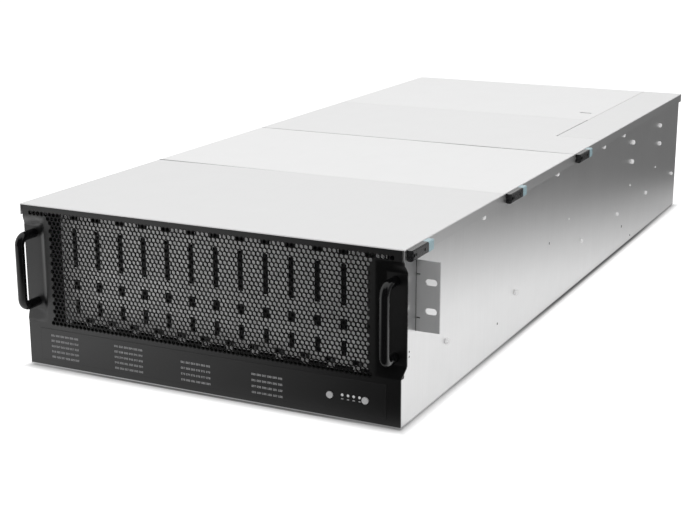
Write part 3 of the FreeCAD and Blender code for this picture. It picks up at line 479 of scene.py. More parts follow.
def hole_rings(bm, cells):
    """Six faces between each hole and its cell. Gives the corners, which neighbouring cells share."""
    corners = {}
    radius = HOLE_FLATS / math.sqrt(3)
    for row, halves in cells:
        outline = []
        for dx, dz in CELL_CORNERS:
            across, up = halves + dx, 3 * row + dz
            if (across, up) not in corners:
                place = spot(across * HOLE_PITCH / 2, 0, FIRST_ROW + up * ROW_STEP / 3)
                corners[across, up] = bm.verts.new(place)
            outline.append(corners[across, up])
        hole = []
        for i in range(6):
            angle = math.radians(60 * i + 30)
            hole.append(bm.verts.new(spot(halves * HOLE_PITCH / 2 + radius * math.cos(angle), 0,
                                          FIRST_ROW + row * ROW_STEP + radius * math.sin(angle))))
        for i in range(6):
            ring = bm.faces.new((outline[i], outline[i - 1], hole[i - 1], hole[i]))
            ring.material_index = HOLE_MATERIAL
    return set(corners.values())


def over_hole(cells, x, z):
    """True over the cell of a hole."""
    near_row, near_half = round((z - FIRST_ROW) / ROW_STEP), round(2 * x / HOLE_PITCH)
    for row in range(near_row - 1, near_row + 2):
        up = abs(z - FIRST_ROW - row * ROW_STEP) * 3 / ROW_STEP
        for halves in range(near_half - 1, near_half + 2):
            across = abs(2 * x / HOLE_PITCH - halves)
            if (row, halves) in cells and across < 1 + CELL_SLACK and up < 2 + CELL_SLACK - across:
                return True
    return False


def in_margin(cells, x, z):
    """False over a hole's cell, a pocket or a button."""
    if abs(x) > POCKET_IN and POCKET_LOW < z < POCKET_HIGH:
        return False
    if any(math.hypot(x - place.x, z - place.z) < BUTTON_HOLE for place in BUTTONS):
        return False
    return not over_hole(cells, x, z)


def fill_margin(bm, margin, edges, cells):
    """Fill the flat sheet between the outermost cells, the border and the buttons."""
    flat = [Vector((v.co.x / MM, v.co.z / MM)) for v in margin]
    made, _, triangles, source, _, _ = delaunay_2d_cdt(flat, edges, [], HULL_TRIANGLES, SAME_POINT)
    for triangle in triangles:
        middle = sum((made[i] for i in triangle), Vector((0, 0))) / 3
        if in_margin(cells, middle.x, middle.y):
            bm.faces.new([margin[source[i][0]] for i in triangle])


def press_pocket(bm, side, ring):
    """A rounded slope from a pocket's mouth, open to one side, down to its flat floor."""
    mouth = ((HALF, POCKET_LOW), (POCKET_IN, POCKET_LOW), (POCKET_IN, POCKET_HIGH), (HALF, POCKET_HIGH))
    bed = ((POCKET_OUT, POCKET_FLOOR_LOW), (POCKET_FLOOR_IN, POCKET_FLOOR_LOW),
           (POCKET_FLOOR_IN, POCKET_FLOOR_HIGH), (POCKET_OUT, POCKET_FLOOR_HIGH))
    for step in range(1, POCKET_STEPS + 1):
        share = step / POCKET_STEPS
        depth = POCKET_DEPTH * share * share * (3 - 2 * share)
        inner = [bm.verts.new(spot(side * (x + (bx - x) * share), depth, z + (bz - z) * share))
                 for (x, z), (bx, bz) in zip(mouth, bed)]
        for i in range(3):
            bm.faces.new((ring[i], ring[i + 1], inner[i + 1], inner[i])).smooth = True
        ring = inner
    bm.faces.new(ring)


def front_sheet():
    """One surface: a ring of faces for each hole, a filled margin and two pressed pockets."""
    bm = bmesh.new()
    cells = set(hole_cells())
    corners = hole_rings(bm, cells)
    rim = [e for e in bm.edges if len(e.link_faces) == 1 and corners.issuperset(e.verts)]
    margin = list(dict.fromkeys(v for e in rim for v in e.verts))
    number = {v: i for i, v in enumerate(margin)}
    edges = [(number[e.verts[0]], number[e.verts[1]]) for e in rim]

    def loop(points):
        start = len(margin)
        margin.extend(bm.verts.new(spot(x, 0, z)) for x, z in points)
        edges.extend((start + i, start + (i + 1) % len(points)) for i in range(len(points)))
        return margin[start:]

    border = loop([(-HALF, PANEL_LOW), (HALF, PANEL_LOW), (HALF, POCKET_LOW), (POCKET_IN, POCKET_LOW),
                   (POCKET_IN, POCKET_HIGH), (HALF, POCKET_HIGH), (HALF, PANEL_HIGH), (-HALF, PANEL_HIGH),
                   (-HALF, POCKET_HIGH), (-POCKET_IN, POCKET_HIGH), (-POCKET_IN, POCKET_LOW),
                   (-HALF, POCKET_LOW)])
    for place in BUTTONS:
        loop([(place.x + BUTTON_HOLE * math.cos(t), place.z + BUTTON_HOLE * math.sin(t))
              for t in full_turn(BUTTON_SIDES)])
    fill_margin(bm, margin, edges, cells)
    right_mouth, left_mouth = border[2:6], border[11:7:-1]
    press_pocket(bm, 1, right_mouth)
    press_pocket(bm, -1, left_mouth)
    return bm


front = piece("front_sheet", front_sheet(), BLACK_COAT, "chassis", "black_coat",
              "front_panel", "front_grille")
if sum(face.normal.y * face.area for face in front.data.polygons) > 0:
    front.data.flip_normals()
front.data.materials.append(GRILLE_COAT)
thick = front.modifiers.new("sheet", "SOLIDIFY")
thick.thickness = PANEL_SHEET * MM
thick.offset = -1


# Handles as smooth bent bars

HANDLE_RADIUS = 4.9
HANDLE_BEND = 8.8


def tube(bm, path, radius, sides=28):
    """A round bar along points in a plane across X, with its ends closed."""
    rings = []
    for i, here in enumerate(path):
        along = (path[min(i + 1, len(path) - 1)] - path[max(i - 1, 0)]).normalized()
        up = RIGHT.cross(along)
        rings.append([bm.verts.new(here + (RIGHT * math.cos(t) + up * math.sin(t)) * radius * MM)
                      for t in full_turn(sides)])
    for a, b in zip(rings, rings[1:]):
        for k in range(sides):
            bm.faces.new((a[k], a[(k + 1) % sides], b[(k + 1) % sides], b[k]))
    bm.faces.new(rings[0])
    bm.faces.new(rings[-1])


def bent_route(x, reach, low, high, foot, bend, steps=10):
    """Points of a U from a foot plane forward, down and back, with round bends."""
    quarter = [math.pi / 2 * k / steps for k in range(steps + 1)]
    points = [(foot, high)]
    points += [(reach + bend - bend * math.sin(t), high - bend + bend * math.cos(t)) for t in quarter]
    points += [(reach + bend - bend * math.cos(t), low + bend - bend * math.sin(t)) for t in quarter]
    points.append((foot, low))
    return [spot(x, y, z) for y, z in points]


handles = bmesh.new()
handle_low, handle_high = span("front_handles")
for side in (-1, 1):
    route = bent_route(side * (handle_high.x - HANDLE_RADIUS), handle_low.y + HANDLE_RADIUS,
                       handle_low.z + HANDLE_RADIUS, handle_high.z - HANDLE_RADIUS, handle_high.y,
                       HANDLE_BEND)
    tube(handles, route, HANDLE_RADIUS)
piece("bent_handles", handles, HANDLE_BLACK, "chassis", "satin_black", "front_handles", smooth=True)


# Film: printed drive numbers, lenses and marks

FONT = {
    "0": ("111", "101", "101", "101", "111"), "1": ("010", "110", "010", "010", "111"),
    "2": ("111", "001", "111", "100", "111"), "3": ("111", "001", "111", "001", "111"),
    "4": ("101", "101", "111", "001", "001"), "5": ("111", "100", "111", "001", "111"),
    "6": ("111", "100", "111", "101", "111"), "7": ("111", "001", "001", "010", "010"),
    "8": ("111", "101", "111", "101", "111"), "9": ("111", "101", "111", "001", "111"),
}
DIGIT_PITCH, DIGIT_ROWS = 4, 5
PRINT = 0.02
NUMBER_DOT, NUMBER_PITCH, NUMBER_COLUMNS, NUMBER_FOOT = 0.42, 6.0, 6, 11.5
NUMBER_BLOCKS = ((-186.5, 5, 5.95), (-105.8, 5, 5.95), (-24.6, 4, 6.3), (58.0, 4, 6.3))
LENS_X, LENS_Z = (156.0, 162.2, 168.3, 174.5), 24.7
LENS_PROFILE = ((1.4, 0), (1.4, 0.1), (0.9, 0.2), (0, 0.25))
MARK_Z, MARK_WIDTH, MARK_HEIGHT = 20.6, 2.4, 1.0
RIM_PROFILE, RIM_SIDES = ((4.6, 0), (4.5, 0.25), (4.0, 0.3), (3.9, 0)), 32
FILM_LINE = 0.6
film_low, film_high = span("indicator_film")
film_middle = (film_low + film_high) / 2
FILM_FACE = film_low.y


def stamp(bm, text, x, z, y, dot, across=RIGHT):
    """Write a number in small squares, centred on a point of an upright plane."""
    width = (DIGIT_PITCH * len(text) - 1) * dot
    for place, digit in enumerate(text):
        for row, bits in enumerate(FONT[digit]):
            for column, bit in enumerate(bits):
                if bit == "1":
                    left = -width / 2 + (DIGIT_PITCH * place + column) * dot
                    top = z + (DIGIT_ROWS / 2 - row) * dot
                    square = ((left, top - dot), (left + dot, top - dot), (left + dot, top), (left, top))
                    bm.faces.new([bm.verts.new(spot(x + across.x * px, y, pz)) for px, pz in square])


numbers = bmesh.new()
count = 0
for first, rows, step in NUMBER_BLOCKS:
    for row in range(rows):
        for column in range(NUMBER_COLUMNS):
            count += 1
            stamp(numbers, "%03d" % count, first + column * NUMBER_PITCH,
                  NUMBER_FOOT + (rows - 1 - row) * step, FILM_FACE - PRINT, NUMBER_DOT)
for x in LENS_X:
    plate(numbers, spot(x, FILM_FACE, MARK_Z), RIGHT, UP, MARK_WIDTH, MARK_HEIGHT, PRINT, PRINT / 2)
piece("drive_numbers", numbers, PRINT_GREY, "chassis", "film")

border = bmesh.new()
surround(border, film_middle.x, FILM_FACE, film_middle.z, RIGHT, film_high.x - film_low.x - 2 * FILM_LINE,
         film_high.z - film_low.z - 2 * FILM_LINE, FILM_LINE, PRINT, PRINT / 2)
piece("film_border", border, FILM_EDGE, "chassis", "film")

lenses = bmesh.new()
for x in LENS_X:
    turned(lenses, spot(x, FILM_FACE, LENS_Z), FRONT, LENS_PROFILE)
piece("film_lenses", lenses, GLOWING_LENS_GREY, "chassis", "film", smooth=True)

rims = bmesh.new()
for place in BUTTONS:
    turned(rims, spot(place.x, FILM_FACE, place.z), FRONT, RIM_PROFILE, RIM_SIDES)
piece("button_rims", rims, PLASTIC_BLACK, "chassis", "film", smooth=True)


# Studs, pins and small holes in both side panels, by distance from the front and height

STUDS = ((564, 54, 2.6), (728, 54, 2.8), (880, 54, 2.8), (1033, 54.5, 2.8), (111, 54.5, 3.0),
         (794, 143.5, 3.4), (945, 144, 3.2), (947, 116.4, 3.2), (793, 116.2, 3.4), (315.5, 51.4, 3.0))
SMALL_STUDS = ((933, 82.8, 1.5), (792, 82.4, 1.6), (509, 94.6, 1.4))
STUD_REACH, SMALL_STUD_REACH = 1.1, 0.5
LID_PINS = ((209, 161.6), (455, 161.6), (650, 161.6), (745, 161.6))
LID_PIN_RADIUS, LID_PIN_LENGTH = 2.9, 2.6
SIDE_HOLES = ((757, 30, 1.6), (805, 6.7, 1.4), (434, 80.8, 1.3), (260, 30, 1.2), (19, 66.5, 0.8),
              (19, 71.5, 0.8))
HOLE_LIP, LIP_HEIGHT, HOLE_HEIGHT, SIDE_HOLE_SIDES = 0.3, 0.06, 0.03, 16


def side_studs(side):
    bm = bmesh.new()
    for y, z, radius in STUDS:
        head(bm, spot(side.x * HALF, y, z), side, STUD_HEAD, radius, radius * STUD_REACH)
    for y, z, radius in SMALL_STUDS:
        head(bm, spot(side.x * HALF, y, z), side, STUD_HEAD, radius, radius * SMALL_STUD_REACH)
    for y, z in LID_PINS:
        head(bm, spot(side.x * HALF, y, z), side, STUD_HEAD, LID_PIN_RADIUS, LID_PIN_LENGTH)
    return bm


# Painted shade: each small side hole is a flat near-black disc with a slight lip
def side_holes(side):
    bm = bmesh.new()
    for y, z, radius in SIDE_HOLES:
        profile = ((radius + HOLE_LIP, 0), (radius, LIP_HEIGHT), (0, HOLE_HEIGHT))
        turned(bm, spot(side.x * HALF, y, z), side, profile, SIDE_HOLE_SIDES)
    return bm


# Painted shadow in the slit behind each rack ear: a dark strip, and dark fills in its two notches

EAR_SHEET = 2.0
SLIT_WIDTH, SLIT_THICKNESS, SLIT_BEVEL = 1.2, 0.04, 0.02
NOTCH_LENGTH, NOTCH_WIDTH, NOTCH_THICKNESS, NOTCH_BEVEL = 4.0, 1.2, 0.3, 0.1
NOTCH_BACK, NOTCH_OFFSET = 0.5, 21.5
ear_low, ear_high = span("right_rack_ear")


def ear_slit(side):
    bm = bmesh.new()
    middle = (ear_low.z + ear_high.z) / 2
    place = spot(side.x * HALF, ear_high.y - EAR_SHEET - SLIT_WIDTH / 2, middle)
    plate(bm, place, BACK * side.x, UP, SLIT_WIDTH, ear_high.z - ear_low.z, SLIT_THICKNESS, SLIT_BEVEL)
    for end in (-1, 1):
        place = spot(side.x * (HALF + NOTCH_LENGTH / 2), ear_high.y - NOTCH_BACK, middle + end * NOTCH_OFFSET)
        plate(bm, place, RIGHT, UP, NOTCH_LENGTH, NOTCH_WIDTH, NOTCH_THICKNESS, NOTCH_BEVEL)
    return bm


# Pieces on both sides

for name, side in (("right", RIGHT), ("left", LEFT)):
    piece(name + "_side_studs", side_studs(side), HIGHLIGHT_STEEL, "chassis", "galvanised", smooth=True)
    piece(name + "_side_holes", side_holes(side), SHADE_BLACK, "chassis", "galvanised")
    piece(name + "_ear_slit", ear_slit(side), SHADE_BLACK, "chassis", "galvanised")


# Pins in the lid latches

LATCH_PIN_RADIUS, LATCH_PIN_HEIGHT, LATCH_PIN_SIDES = 1.5, 0.4, 16
LATCH_PIN_SPACING = 20.0
for name in ("front_latch", "middle_latch", "rear_latch"):
    low, high = span(name)
    pins = bmesh.new()
    for end in (-1, 1):
        place = spot(high.x, (low.y + high.y) / 2 + end * LATCH_PIN_SPACING / 2, (low.z + high.z) / 2)
        head(pins, place, RIGHT, PIN_HEAD, LATCH_PIN_RADIUS, LATCH_PIN_HEIGHT, LATCH_PIN_SIDES)
    piece(name + "_pins", pins, SHADE_BLACK, name, "latch_black", smooth=True)


# Carriers on the drives

COLUMN_PITCH, ROW_PITCH = 28.8, 103.2
CAP_HEIGHT, CAP_BEVEL = 2.2, 0.8
RIB_WIDTH, RIB_LENGTH, RIB_HEIGHT, RIB_BEVEL, RIB_FORWARD = 13.0, 66.0, 1.8, 0.7, 6
CAP_SCREW_RADIUS, CAP_SCREW_HEIGHT, CAP_SCREW_INSET = 2.4, 0.8, 6
PULL_WIDTH, PULL_LENGTH, PULL_HEIGHT, PULL_BEVEL, PULL_INSET = 15.0, 16.0, 2.0, 0.8, 13
RAIL_THICKNESS, RAIL_BEVEL = 0.6, 0.2
for name in ("front_drives", "rear_drives"):
    low, high = span(name)
    width = high.x - low.x - COLUMN_PITCH * int((high.x - low.x) / COLUMN_PITCH)
    length = high.y - low.y - ROW_PITCH * int((high.y - low.y) / ROW_PITCH)
    top = high.z + CAP_HEIGHT
    caps, pulls, rails = bmesh.new(), bmesh.new(), bmesh.new()
    for y in stations(low.y + length / 2, high.y, ROW_PITCH):
        for x in stations(low.x + width / 2, high.x, COLUMN_PITCH):
            plate(caps, spot(x, y, high.z), RIGHT, BACK, width, length, CAP_HEIGHT, CAP_BEVEL)
            plate(caps, spot(x, y - RIB_FORWARD, top), RIGHT, BACK, RIB_WIDTH, RIB_LENGTH, RIB_HEIGHT,
                  RIB_BEVEL)
            head(caps, spot(x, y - length / 2 + CAP_SCREW_INSET, top), UP, SCREW_HEAD, CAP_SCREW_RADIUS,
                 CAP_SCREW_HEIGHT)
            plate(pulls, spot(x, y + length / 2 - PULL_INSET, top), RIGHT, BACK, PULL_WIDTH, PULL_LENGTH,
                  PULL_HEIGHT, PULL_BEVEL)
            plate(rails, spot(x, y - length / 2, (low.z + high.z) / 2), RIGHT, UP, width, high.z - low.z,
                  RAIL_THICKNESS, RAIL_BEVEL)
    piece(name.replace("drives", "carriers"), caps, CARRIER_GREY, "chassis", "socket_black")
    piece(name.replace("drives", "carrier_pulls"), pulls, TAB_BLUE, "chassis", "tab_blue")
    piece(name.replace("drives", "carrier_rails"), rails, PLASTIC_BLACK, "chassis", "socket_black")


# Fan rotors with round hubs and curved blades

BLADES, BLADE_STEPS = 5, 6
BLADE_CHORD, BLADE_SHEET, BLADE_CAMBER, BLADE_SWEEP = 24.0, 1.4, 2.5, 0.25
ROOT_PITCH, TIP_PITCH, ROOT_OVERLAP = 35.0, 56.0, 1
HUB_SHARE, HUB_BEVEL, HUB_SIDES = 0.48, 2.5, 40
SHAFT_BORE, BORE_START = 2.4, 3.5
WELD_DISTANCE = 1e-6


def slab(bm, front, back):
    """Close two grids of points into one thin solid."""
    last_row, last_column = len(front) - 1, len(front[0]) - 1
    for grid in (front, back):
        for i in range(last_row):
            for j in range(last_column):
                bm.faces.new((grid[i][j], grid[i + 1][j], grid[i + 1][j + 1], grid[i][j + 1]))
    rim = [(0, j) for j in range(last_column)] + [(i, last_column) for i in range(last_row)]
    rim += [(last_row, j) for j in range(last_column, 0, -1)] + [(i, 0) for i in range(last_row, 0, -1)]
    for (i, j), (k, m) in zip(rim, rim[1:] + rim[:1]):
        bm.faces.new((front[i][j], front[k][m], back[k][m], back[i][j]))


def fan_hub(bm, place, radius, length):
    """A round hub with a bevelled front and a blind bore for the shaft."""
    shell = ((SHAFT_BORE, length), (radius, length), (radius, HUB_BEVEL), (radius - HUB_BEVEL, 0), (0, 0))
    bore = ((SHAFT_BORE, length), (SHAFT_BORE, BORE_START), (0, BORE_START))
    for profile in (shell, bore):
        turned(bm, place, BACK, profile, HUB_SIDES)
    bmesh.ops.remove_doubles(bm, verts=bm.verts, dist=WELD_DISTANCE)


def blade_grid(bm, x, middle, z, hub, tip, turn, raised):
    """One face of a blade, as rows of points that twist from root to tip."""
    grid = []
    for i in range(BLADE_STEPS + 1):
        share = i / BLADE_STEPS
        radius = hub - ROOT_OVERLAP + (tip - hub + ROOT_OVERLAP) * share
        pitch = math.radians(ROOT_PITCH + (TIP_PITCH - ROOT_PITCH) * share)
        row = []
        for j in range(BLADE_STEPS + 1):
            along = (j / BLADE_STEPS - 0.5) * BLADE_CHORD
            lift = BLADE_CAMBER * (1 - (2 * j / BLADE_STEPS - 1) ** 2) + raised
            sideways = along * math.sin(pitch) + lift * math.cos(pitch)
            y = middle + along * math.cos(pitch) - lift * math.sin(pitch)
            angle = turn + sideways / radius + BLADE_SWEEP * share
            row.append(bm.verts.new(spot(x + radius * math.sin(angle), y, z + radius * math.cos(angle))))
        grid.append(row)
    return grid


def fan_rotor(x, z, low, high):
    """A hub with its blades, each a thin sheet between two faces."""
    bm = bmesh.new()
    tip, length = high.z - z, high.y - low.y
    hub = HUB_SHARE * tip
    middle = low.y + length / 2
    fan_hub(bm, spot(x, low.y, z), hub, length)
    for turn in full_turn(BLADES):
        front, back = (blade_grid(bm, x, middle, z, hub, tip, turn, raised) for raised in (0, BLADE_SHEET))
        slab(bm, front, back)
    return bm


for joint in frame["joints"]:
    name = joint["child"]
    if name.startswith("fan_rotor"):
        x, _, z = (value / MM for value in joint["pos_m"])
        rotor = fan_rotor(x, z, *span(name))
        piece(name + "_moulding", rotor, PLASTIC_BLACK, name, "socket_black", name, smooth=True)


# Rear faces of the modules

FACE_STEP = 0.8
REAR_FACE = DEPTH + FACE_STEP
PORT_WIDTH, PORT_HEIGHT, PORT_PITCH, PORT_Z = 34.0, 10.0, 46.0, 48.0
SHELL_BORDER, SHELL_THICKNESS, SHELL_BEVEL = 1.4, 0.7, 0.3
TONGUE_WIDTH, TONGUE_HEIGHT, TONGUE_LENGTH, TONGUE_BEVEL, TONGUE_START = 28.0, 3.0, 9.0, 0.5, 17.5
PORT_LIGHT_PROFILE, PORT_LIGHT_SIDES = ((1.3, 0), (1.3, 0.3), (0.8, 0.6), (0, 0.7)), 14
PORT_LIGHT_ASIDE, PORT_LIGHT_ABOVE = 6, 10
PORT_DOT = 0.55
MODULE_SCREW_RADIUS, MODULE_SCREW_HEIGHT, MODULE_SCREW_INSET = 3.2, 2.2, 7
port = 0
for name in ("left_io_module", "right_io_module"):
    low, high = span(name)
    middle = (low.x + high.x) / 2
    z = low.z + PORT_Z
    shells, tongues, lights, marks = bmesh.new(), bmesh.new(), bmesh.new(), bmesh.new()
    for side in (-1, 1):
        port += 1
        x = middle + side * PORT_PITCH / 2
        surround(shells, x, REAR_FACE, z, LEFT, PORT_WIDTH, PORT_HEIGHT, SHELL_BORDER, SHELL_THICKNESS,
                 SHELL_BEVEL)
        plate(tongues, spot(x, REAR_FACE - TONGUE_START, z), LEFT, UP, TONGUE_WIDTH, TONGUE_HEIGHT,
              TONGUE_LENGTH, TONGUE_BEVEL)
        for dx in (-PORT_LIGHT_ASIDE, PORT_LIGHT_ASIDE):
            turned(lights, spot(x + dx, REAR_FACE, z + PORT_LIGHT_ABOVE), BACK, PORT_LIGHT_PROFILE,
                   PORT_LIGHT_SIDES)
        stamp(marks, str(port), x, z + PORT_LIGHT_ABOVE, REAR_FACE + PRINT, PORT_DOT, LEFT)
    for side in (-1, 1):
        x = middle + side * ((high.x - low.x) / 2 - MODULE_SCREW_INSET)
        head(shells, spot(x, REAR_FACE, high.z - MODULE_SCREW_INSET), BACK, SCREW_HEAD, MODULE_SCREW_RADIUS,
             MODULE_SCREW_HEIGHT)
    piece(name + "_port_shells", shells, HIGHLIGHT_STEEL, name, "module_steel")
    piece(name + "_port_tongues", tongues, PLASTIC_BLACK, name, "socket_black")
    piece(name + "_lights", lights, LENS_GREEN, name, "film", smooth=True)
    piece(name + "_marks", marks, PRINT_GREY, name, "film")


# Rear faces of the power supplies

INLET_Z, INLET_WIDTH, INLET_HEIGHT = 17, 27.0, 20.0
INLET_BORDER, INLET_THICKNESS, INLET_BEVEL = 2.0, 0.8, 0.4
SUPPLY_LIGHT_PROFILE, SUPPLY_LIGHT_SIDES = ((1.6, 0), (1.6, 0.4), (1.0, 0.8), (0, 0.9)), 16
SUPPLY_LIGHT_INSET, SUPPLY_LIGHT_Z = 6, 12
for name in ("lower_supply", "upper_supply"):
    low, high = span(name)
    liner, lights = bmesh.new(), bmesh.new()
    surround(liner, (low.x + high.x) / 2, REAR_FACE, low.z + INLET_Z, LEFT, INLET_WIDTH, INLET_HEIGHT,
             INLET_BORDER, INLET_THICKNESS, INLET_BEVEL)
    turned(lights, spot(high.x - SUPPLY_LIGHT_INSET, REAR_FACE, low.z + SUPPLY_LIGHT_Z), BACK,
           SUPPLY_LIGHT_PROFILE, SUPPLY_LIGHT_SIDES)
    piece(name + "_inlet_rim", liner, PLASTIC_BLACK, name, "socket_black")
    piece(name + "_light", lights, LENS_GREEN, name, "film", smooth=True)


# Screws in the rear panel, along its top and down its left edge

TOP_SCREWS, EDGE_SCREW_HEIGHTS = 9, (30.0, 100.0)
REAR_SCREW_SIDE, REAR_SCREW_DROP, REAR_SCREW_RADIUS, REAR_SCREW_HEIGHT = 12, 6, 2.6, 1.0
rear_low, rear_high = span("rear_panel")
first = rear_low.x + REAR_SCREW_SIDE
pitch = (rear_high.x - rear_low.x - 2 * REAR_SCREW_SIDE) / (TOP_SCREWS - 1)
places = [(first + k * pitch, rear_high.z - REAR_SCREW_DROP) for k in range(TOP_SCREWS)]
places += [(first, z) for z in EDGE_SCREW_HEIGHTS]
screws = bmesh.new()
for x, z in places:
    head(screws, spot(x, DEPTH, z), BACK, SCREW_HEAD, REAR_SCREW_RADIUS, REAR_SCREW_HEIGHT)
piece("rear_screws", screws, HIGHLIGHT_STEEL, "chassis", "galvanised")


# Camera, as calibrated on the photograph

SENSOR_WIDTH, PHOTO_WIDTH, FOCAL_PIXELS = 36.0, 700, 1423.76269
CAMERA_PLACE = (728.885, -1152.222, 508.738)
YAW, PITCH, ROLL = 0.455576040, 0.267176795, -7.99637640e-04
VIEW_DISTANCE = 100


def camera_turn():
    """Rotation of a camera that looks to the rear and the left, tilted down."""
    ahead = Vector((-math.sin(YAW) * math.cos(PITCH), math.cos(YAW) * math.cos(PITCH), -math.sin(PITCH)))
    level = Vector((math.cos(YAW), math.sin(YAW), 0))
    upward = level.cross(ahead)
    right = math.cos(ROLL) * level + math.sin(ROLL) * upward
    up = -math.sin(ROLL) * level + math.cos(ROLL) * upward
    return Matrix((right, up, -ahead)).transposed().to_4x4()


camera_data = bpy.data.cameras.new("camera")
camera_data.sensor_width = SENSOR_WIDTH
camera_data.lens = FOCAL_PIXELS / PHOTO_WIDTH * SENSOR_WIDTH
camera_data.clip_end = VIEW_DISTANCE
camera = bpy.data.objects.new("camera", camera_data)
bpy.context.scene.collection.objects.link(camera)
camera.matrix_world = Matrix.Translation(spot(*CAMERA_PLACE)) @ camera_turn()
bpy.context.scene.camera = camera


# Studio: white floor and sky, which reflections show dim on the right and in front, places in metres

WHITE = (1, 1, 1, 1)
SIDE_DIM, FRONT_DIM = 0.16, 0.015
FLOOR_HALF, FLOOR_LEVEL = 9.0, -0.002
FLOOR_CLOUD, FLOOR_TONES = 3, (grey(0.92), grey(0.94))
FLOOR_ROUGH, FLOOR_SPECULAR = 0.9, 0.1
FLOOR_GLOW, MIRROR_GLOW, SHADOW_REACH, SIDE_SHADOW = 0.62, 0.45, 0.012, 1.1
# Painted contact shadow: a darker floor tone in a line beside and in front of the pan
CONTACT_SHADOW_TONE = grey(0.27)
SIDE_CONTACT, SIDE_CONTACT_ENDS = (0.001, 0.0055), ((-0.45, -0.05), (0.50, 0.30))
FRONT_CONTACT, FRONT_CONTACT_END, FRONT_CONTACT_SHARE = (0.0, 0.0006), (0.12, 0.19), 0.7
FLOOR_SIDE, FLOOR_SIDE_SLANT, FLOOR_SIDE_RANGE = (0.10, 0.22), 2.0, (0.554, 1.354)
FLOOR_FRONT, FLOOR_FRONT_SLANT, FLOOR_FRONT_RANGE = (-0.565, -0.50), -0.49, (0.07, 0.46)
FAR_SHARE, FAR_RANGE = 0.35, (-1.1, -0.6)
SKY_FILL = 0.5
SKY_SIDE, SKY_SIDE_TOP = (0.02, 0.2), (0.3, 0.6)
SKY_FRONT, SKY_FRONT_TOP = (-0.15, 0.0), (0.75, 0.95)
SKY_FRONT_SLANT, SKY_FRONT_RANGE = -0.6, (-0.14, 0.02)


def rays(tree, *kinds):
    """1 for rays of the named kinds, 0 for the rest."""
    path = tree.nodes.new("ShaderNodeLightPath")
    total = path.outputs["Is %s Ray" % kinds[0]]
    for kind in kinds[1:]:
        total = combine(tree, "MAXIMUM", total, path.outputs["Is %s Ray" % kind])
    return total


def in_reflections(tree, value):
    """A value for glossy rays and 0 for the rest."""
    return combine(tree, "MULTIPLY", rays(tree, "Glossy"), value)


def contact_line(tree, x, y, aside, ahead):
    """Mask of a painted contact shadow, a dark line on the floor beside the pan and in front of it."""
    beside = fall(tree, aside, *SIDE_CONTACT)
    for start, end in SIDE_CONTACT_ENDS:
        beside = combine(tree, "MULTIPLY", beside, rise(tree, y, start, end))
    before = combine(tree, "MULTIPLY", spread(tree, ahead, FRONT_CONTACT_SHARE, 0.0, *FRONT_CONTACT),
                     fall(tree, combine(tree, "ABSOLUTE", x), *FRONT_CONTACT_END))
    return combine(tree, "MAXIMUM", beside, before)


def dim_reflections(tree, shader, x, y):
    """Show reflections a dim floor to the right of the object and in front of its right half."""
    along = combine(tree, "MULTIPLY_ADD", x, FLOOR_SIDE_SLANT, y)
    to_right = combine(tree, "MULTIPLY", rise(tree, along, *FLOOR_SIDE_RANGE), rise(tree, x, *FLOOR_SIDE))
    slant = combine(tree, "MULTIPLY_ADD", y, FLOOR_FRONT_SLANT, x)
    in_front = fall(tree, y, *FLOOR_FRONT)
    far = spread(tree, y, FAR_SHARE, 0.0, *FAR_RANGE)
    to_front = combine(tree, "MAXIMUM", rise(tree, slant, *FLOOR_FRONT_RANGE), far)
    to_front = combine(tree, "MULTIPLY", in_front, to_front)
    dim = tree.nodes.new("ShaderNodeEmission")
    tree.links.new(spread(tree, in_front, SIDE_DIM, FRONT_DIM, 0.0, 1.0), dim.inputs["Strength"])
    share = in_reflections(tree, combine(tree, "MAXIMUM", to_right, to_front))
    mix = tree.nodes.new("ShaderNodeMixShader")
    for source, socket in zip((share, shader.outputs[0], dim.outputs[0]), mix.inputs):
        tree.links.new(source, socket)
    tree.links.new(mix.outputs[0], tree.nodes["Material Output"].inputs["Surface"])


def floor_material():
    """White floor with a soft shadow, partly painted where its glow fades, and a painted contact shadow round
    the foot of the object.
    """
    material, tree, shader = node_tree("studio_floor")
    shader.inputs["Roughness"].default_value = FLOOR_ROUGH
    shader.inputs["Specular IOR Level"].default_value = FLOOR_SPECULAR
    shader.inputs["Emission Color"].default_value = WHITE
    x, y = coordinate(tree, "X"), coordinate(tree, "Y")
    aside = combine(tree, "SUBTRACT", combine(tree, "ABSOLUTE", x), HALF * MM)
    ahead = combine(tree, "SUBTRACT", combine(tree, "ABSOLUTE", y), DEPTH / 2 * MM)
    tone = blend_colours(tree, noise(tree, FLOOR_CLOUD), *FLOOR_TONES)
    tone = masked(tree, contact_line(tree, x, y, aside, ahead), tone, CONTACT_SHADOW_TONE)
    tree.links.new(tone, shader.inputs["Base Color"])
    # Painted shade: the floor's glow for camera rays fades out near the object, deepening its real shadow
    # there
    away = combine(tree, "MAXIMUM", combine(tree, "MULTIPLY", aside, SIDE_SHADOW), ahead)
    clear = spread(tree, away, 0.0, FLOOR_GLOW, 0.0, SHADOW_REACH)
    seen = combine(tree, "MULTIPLY", rays(tree, "Camera"), clear)
    glow = combine(tree, "MULTIPLY_ADD", rays(tree, "Glossy", "Transmission"), MIRROR_GLOW, seen)
    tree.links.new(glow, shader.inputs["Emission Strength"])
    dim_reflections(tree, shader, x, y)
    return material


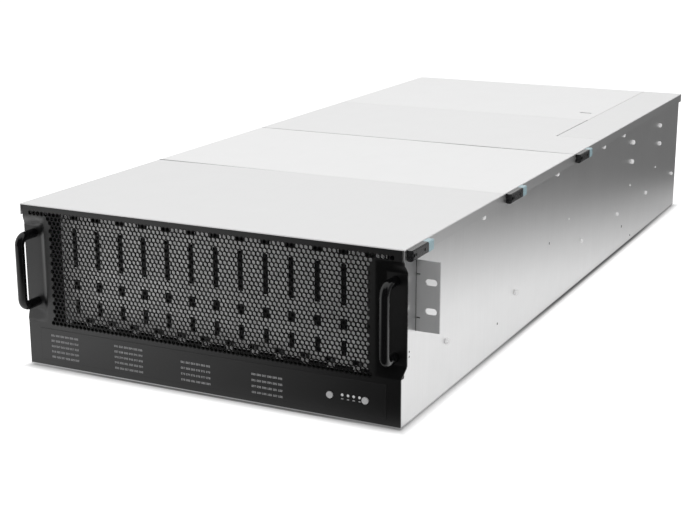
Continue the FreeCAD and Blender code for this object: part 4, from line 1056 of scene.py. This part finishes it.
def studio_sky():
    """White all round, dim in reflections to the right and to the front."""
    world = bpy.data.worlds.new("studio")
    world.use_nodes = True
    tree = world.node_tree
    x, y, z = (coordinate(tree, axis, "Generated") for axis in "XYZ")
    to_right = combine(tree, "MULTIPLY", rise(tree, x, *SKY_SIDE), fall(tree, z, *SKY_SIDE_TOP))
    slant = combine(tree, "MULTIPLY_ADD", y, SKY_FRONT_SLANT, x)
    to_front = combine(tree, "MULTIPLY", fall(tree, y, *SKY_FRONT), rise(tree, slant, *SKY_FRONT_RANGE))
    to_front = combine(tree, "MULTIPLY", to_front, fall(tree, z, *SKY_FRONT_TOP))
    strength = spread(tree, rays(tree, "Camera", "Glossy", "Transmission"), SKY_FILL, 1.0, 0.0, 1.0)
    for direction, dim in ((to_right, SIDE_DIM), (to_front, FRONT_DIM)):
        kept = spread(tree, in_reflections(tree, direction), 1.0, dim, 0.0, 1.0)
        strength = combine(tree, "MULTIPLY", strength, kept)
    backdrop = tree.nodes["Background"]
    backdrop.inputs["Color"].default_value = WHITE
    tree.links.new(strength, backdrop.inputs["Strength"])
    return world


def lamp(name, place, aim, size, power):
    """A soft lamp that reflections don't show."""
    data = bpy.data.lights.new(name, "AREA")
    data.shape = "RECTANGLE"
    data.size, data.size_y = size
    data.energy = power
    thing = bpy.data.objects.new(name, data)
    bpy.context.scene.collection.objects.link(thing)
    thing.location = place
    thing.rotation_mode = "QUATERNION"
    thing.rotation_quaternion = (Vector(aim) - Vector(place)).to_track_quat("-Z", "Y")
    thing.visible_glossy = False


floor_mesh = bpy.data.meshes.new("floor")
floor_corners = [(x * FLOOR_HALF, y * FLOOR_HALF, FLOOR_LEVEL)
                 for x, y in ((-1, -1), (1, -1), (1, 1), (-1, 1))]
floor_mesh.from_pydata(floor_corners, [], [(0, 1, 2, 3)])
floor_mesh.materials.append(floor_material())
floor = bpy.data.objects.new("floor", floor_mesh)
bpy.context.scene.collection.objects.link(floor)
bpy.context.scene.world = studio_sky()
lamp("top_soft", place=(-0.3, 0.1, 2.4), aim=(0, 0, 0), size=(2.6, 3.0), power=22)
lamp("front_soft", place=(1.0, -2.5, 1.3), aim=(0, -0.4, 0.05), size=(1.0, 1.0), power=15)

bpy.context.scene.view_settings.view_transform = "Standard"
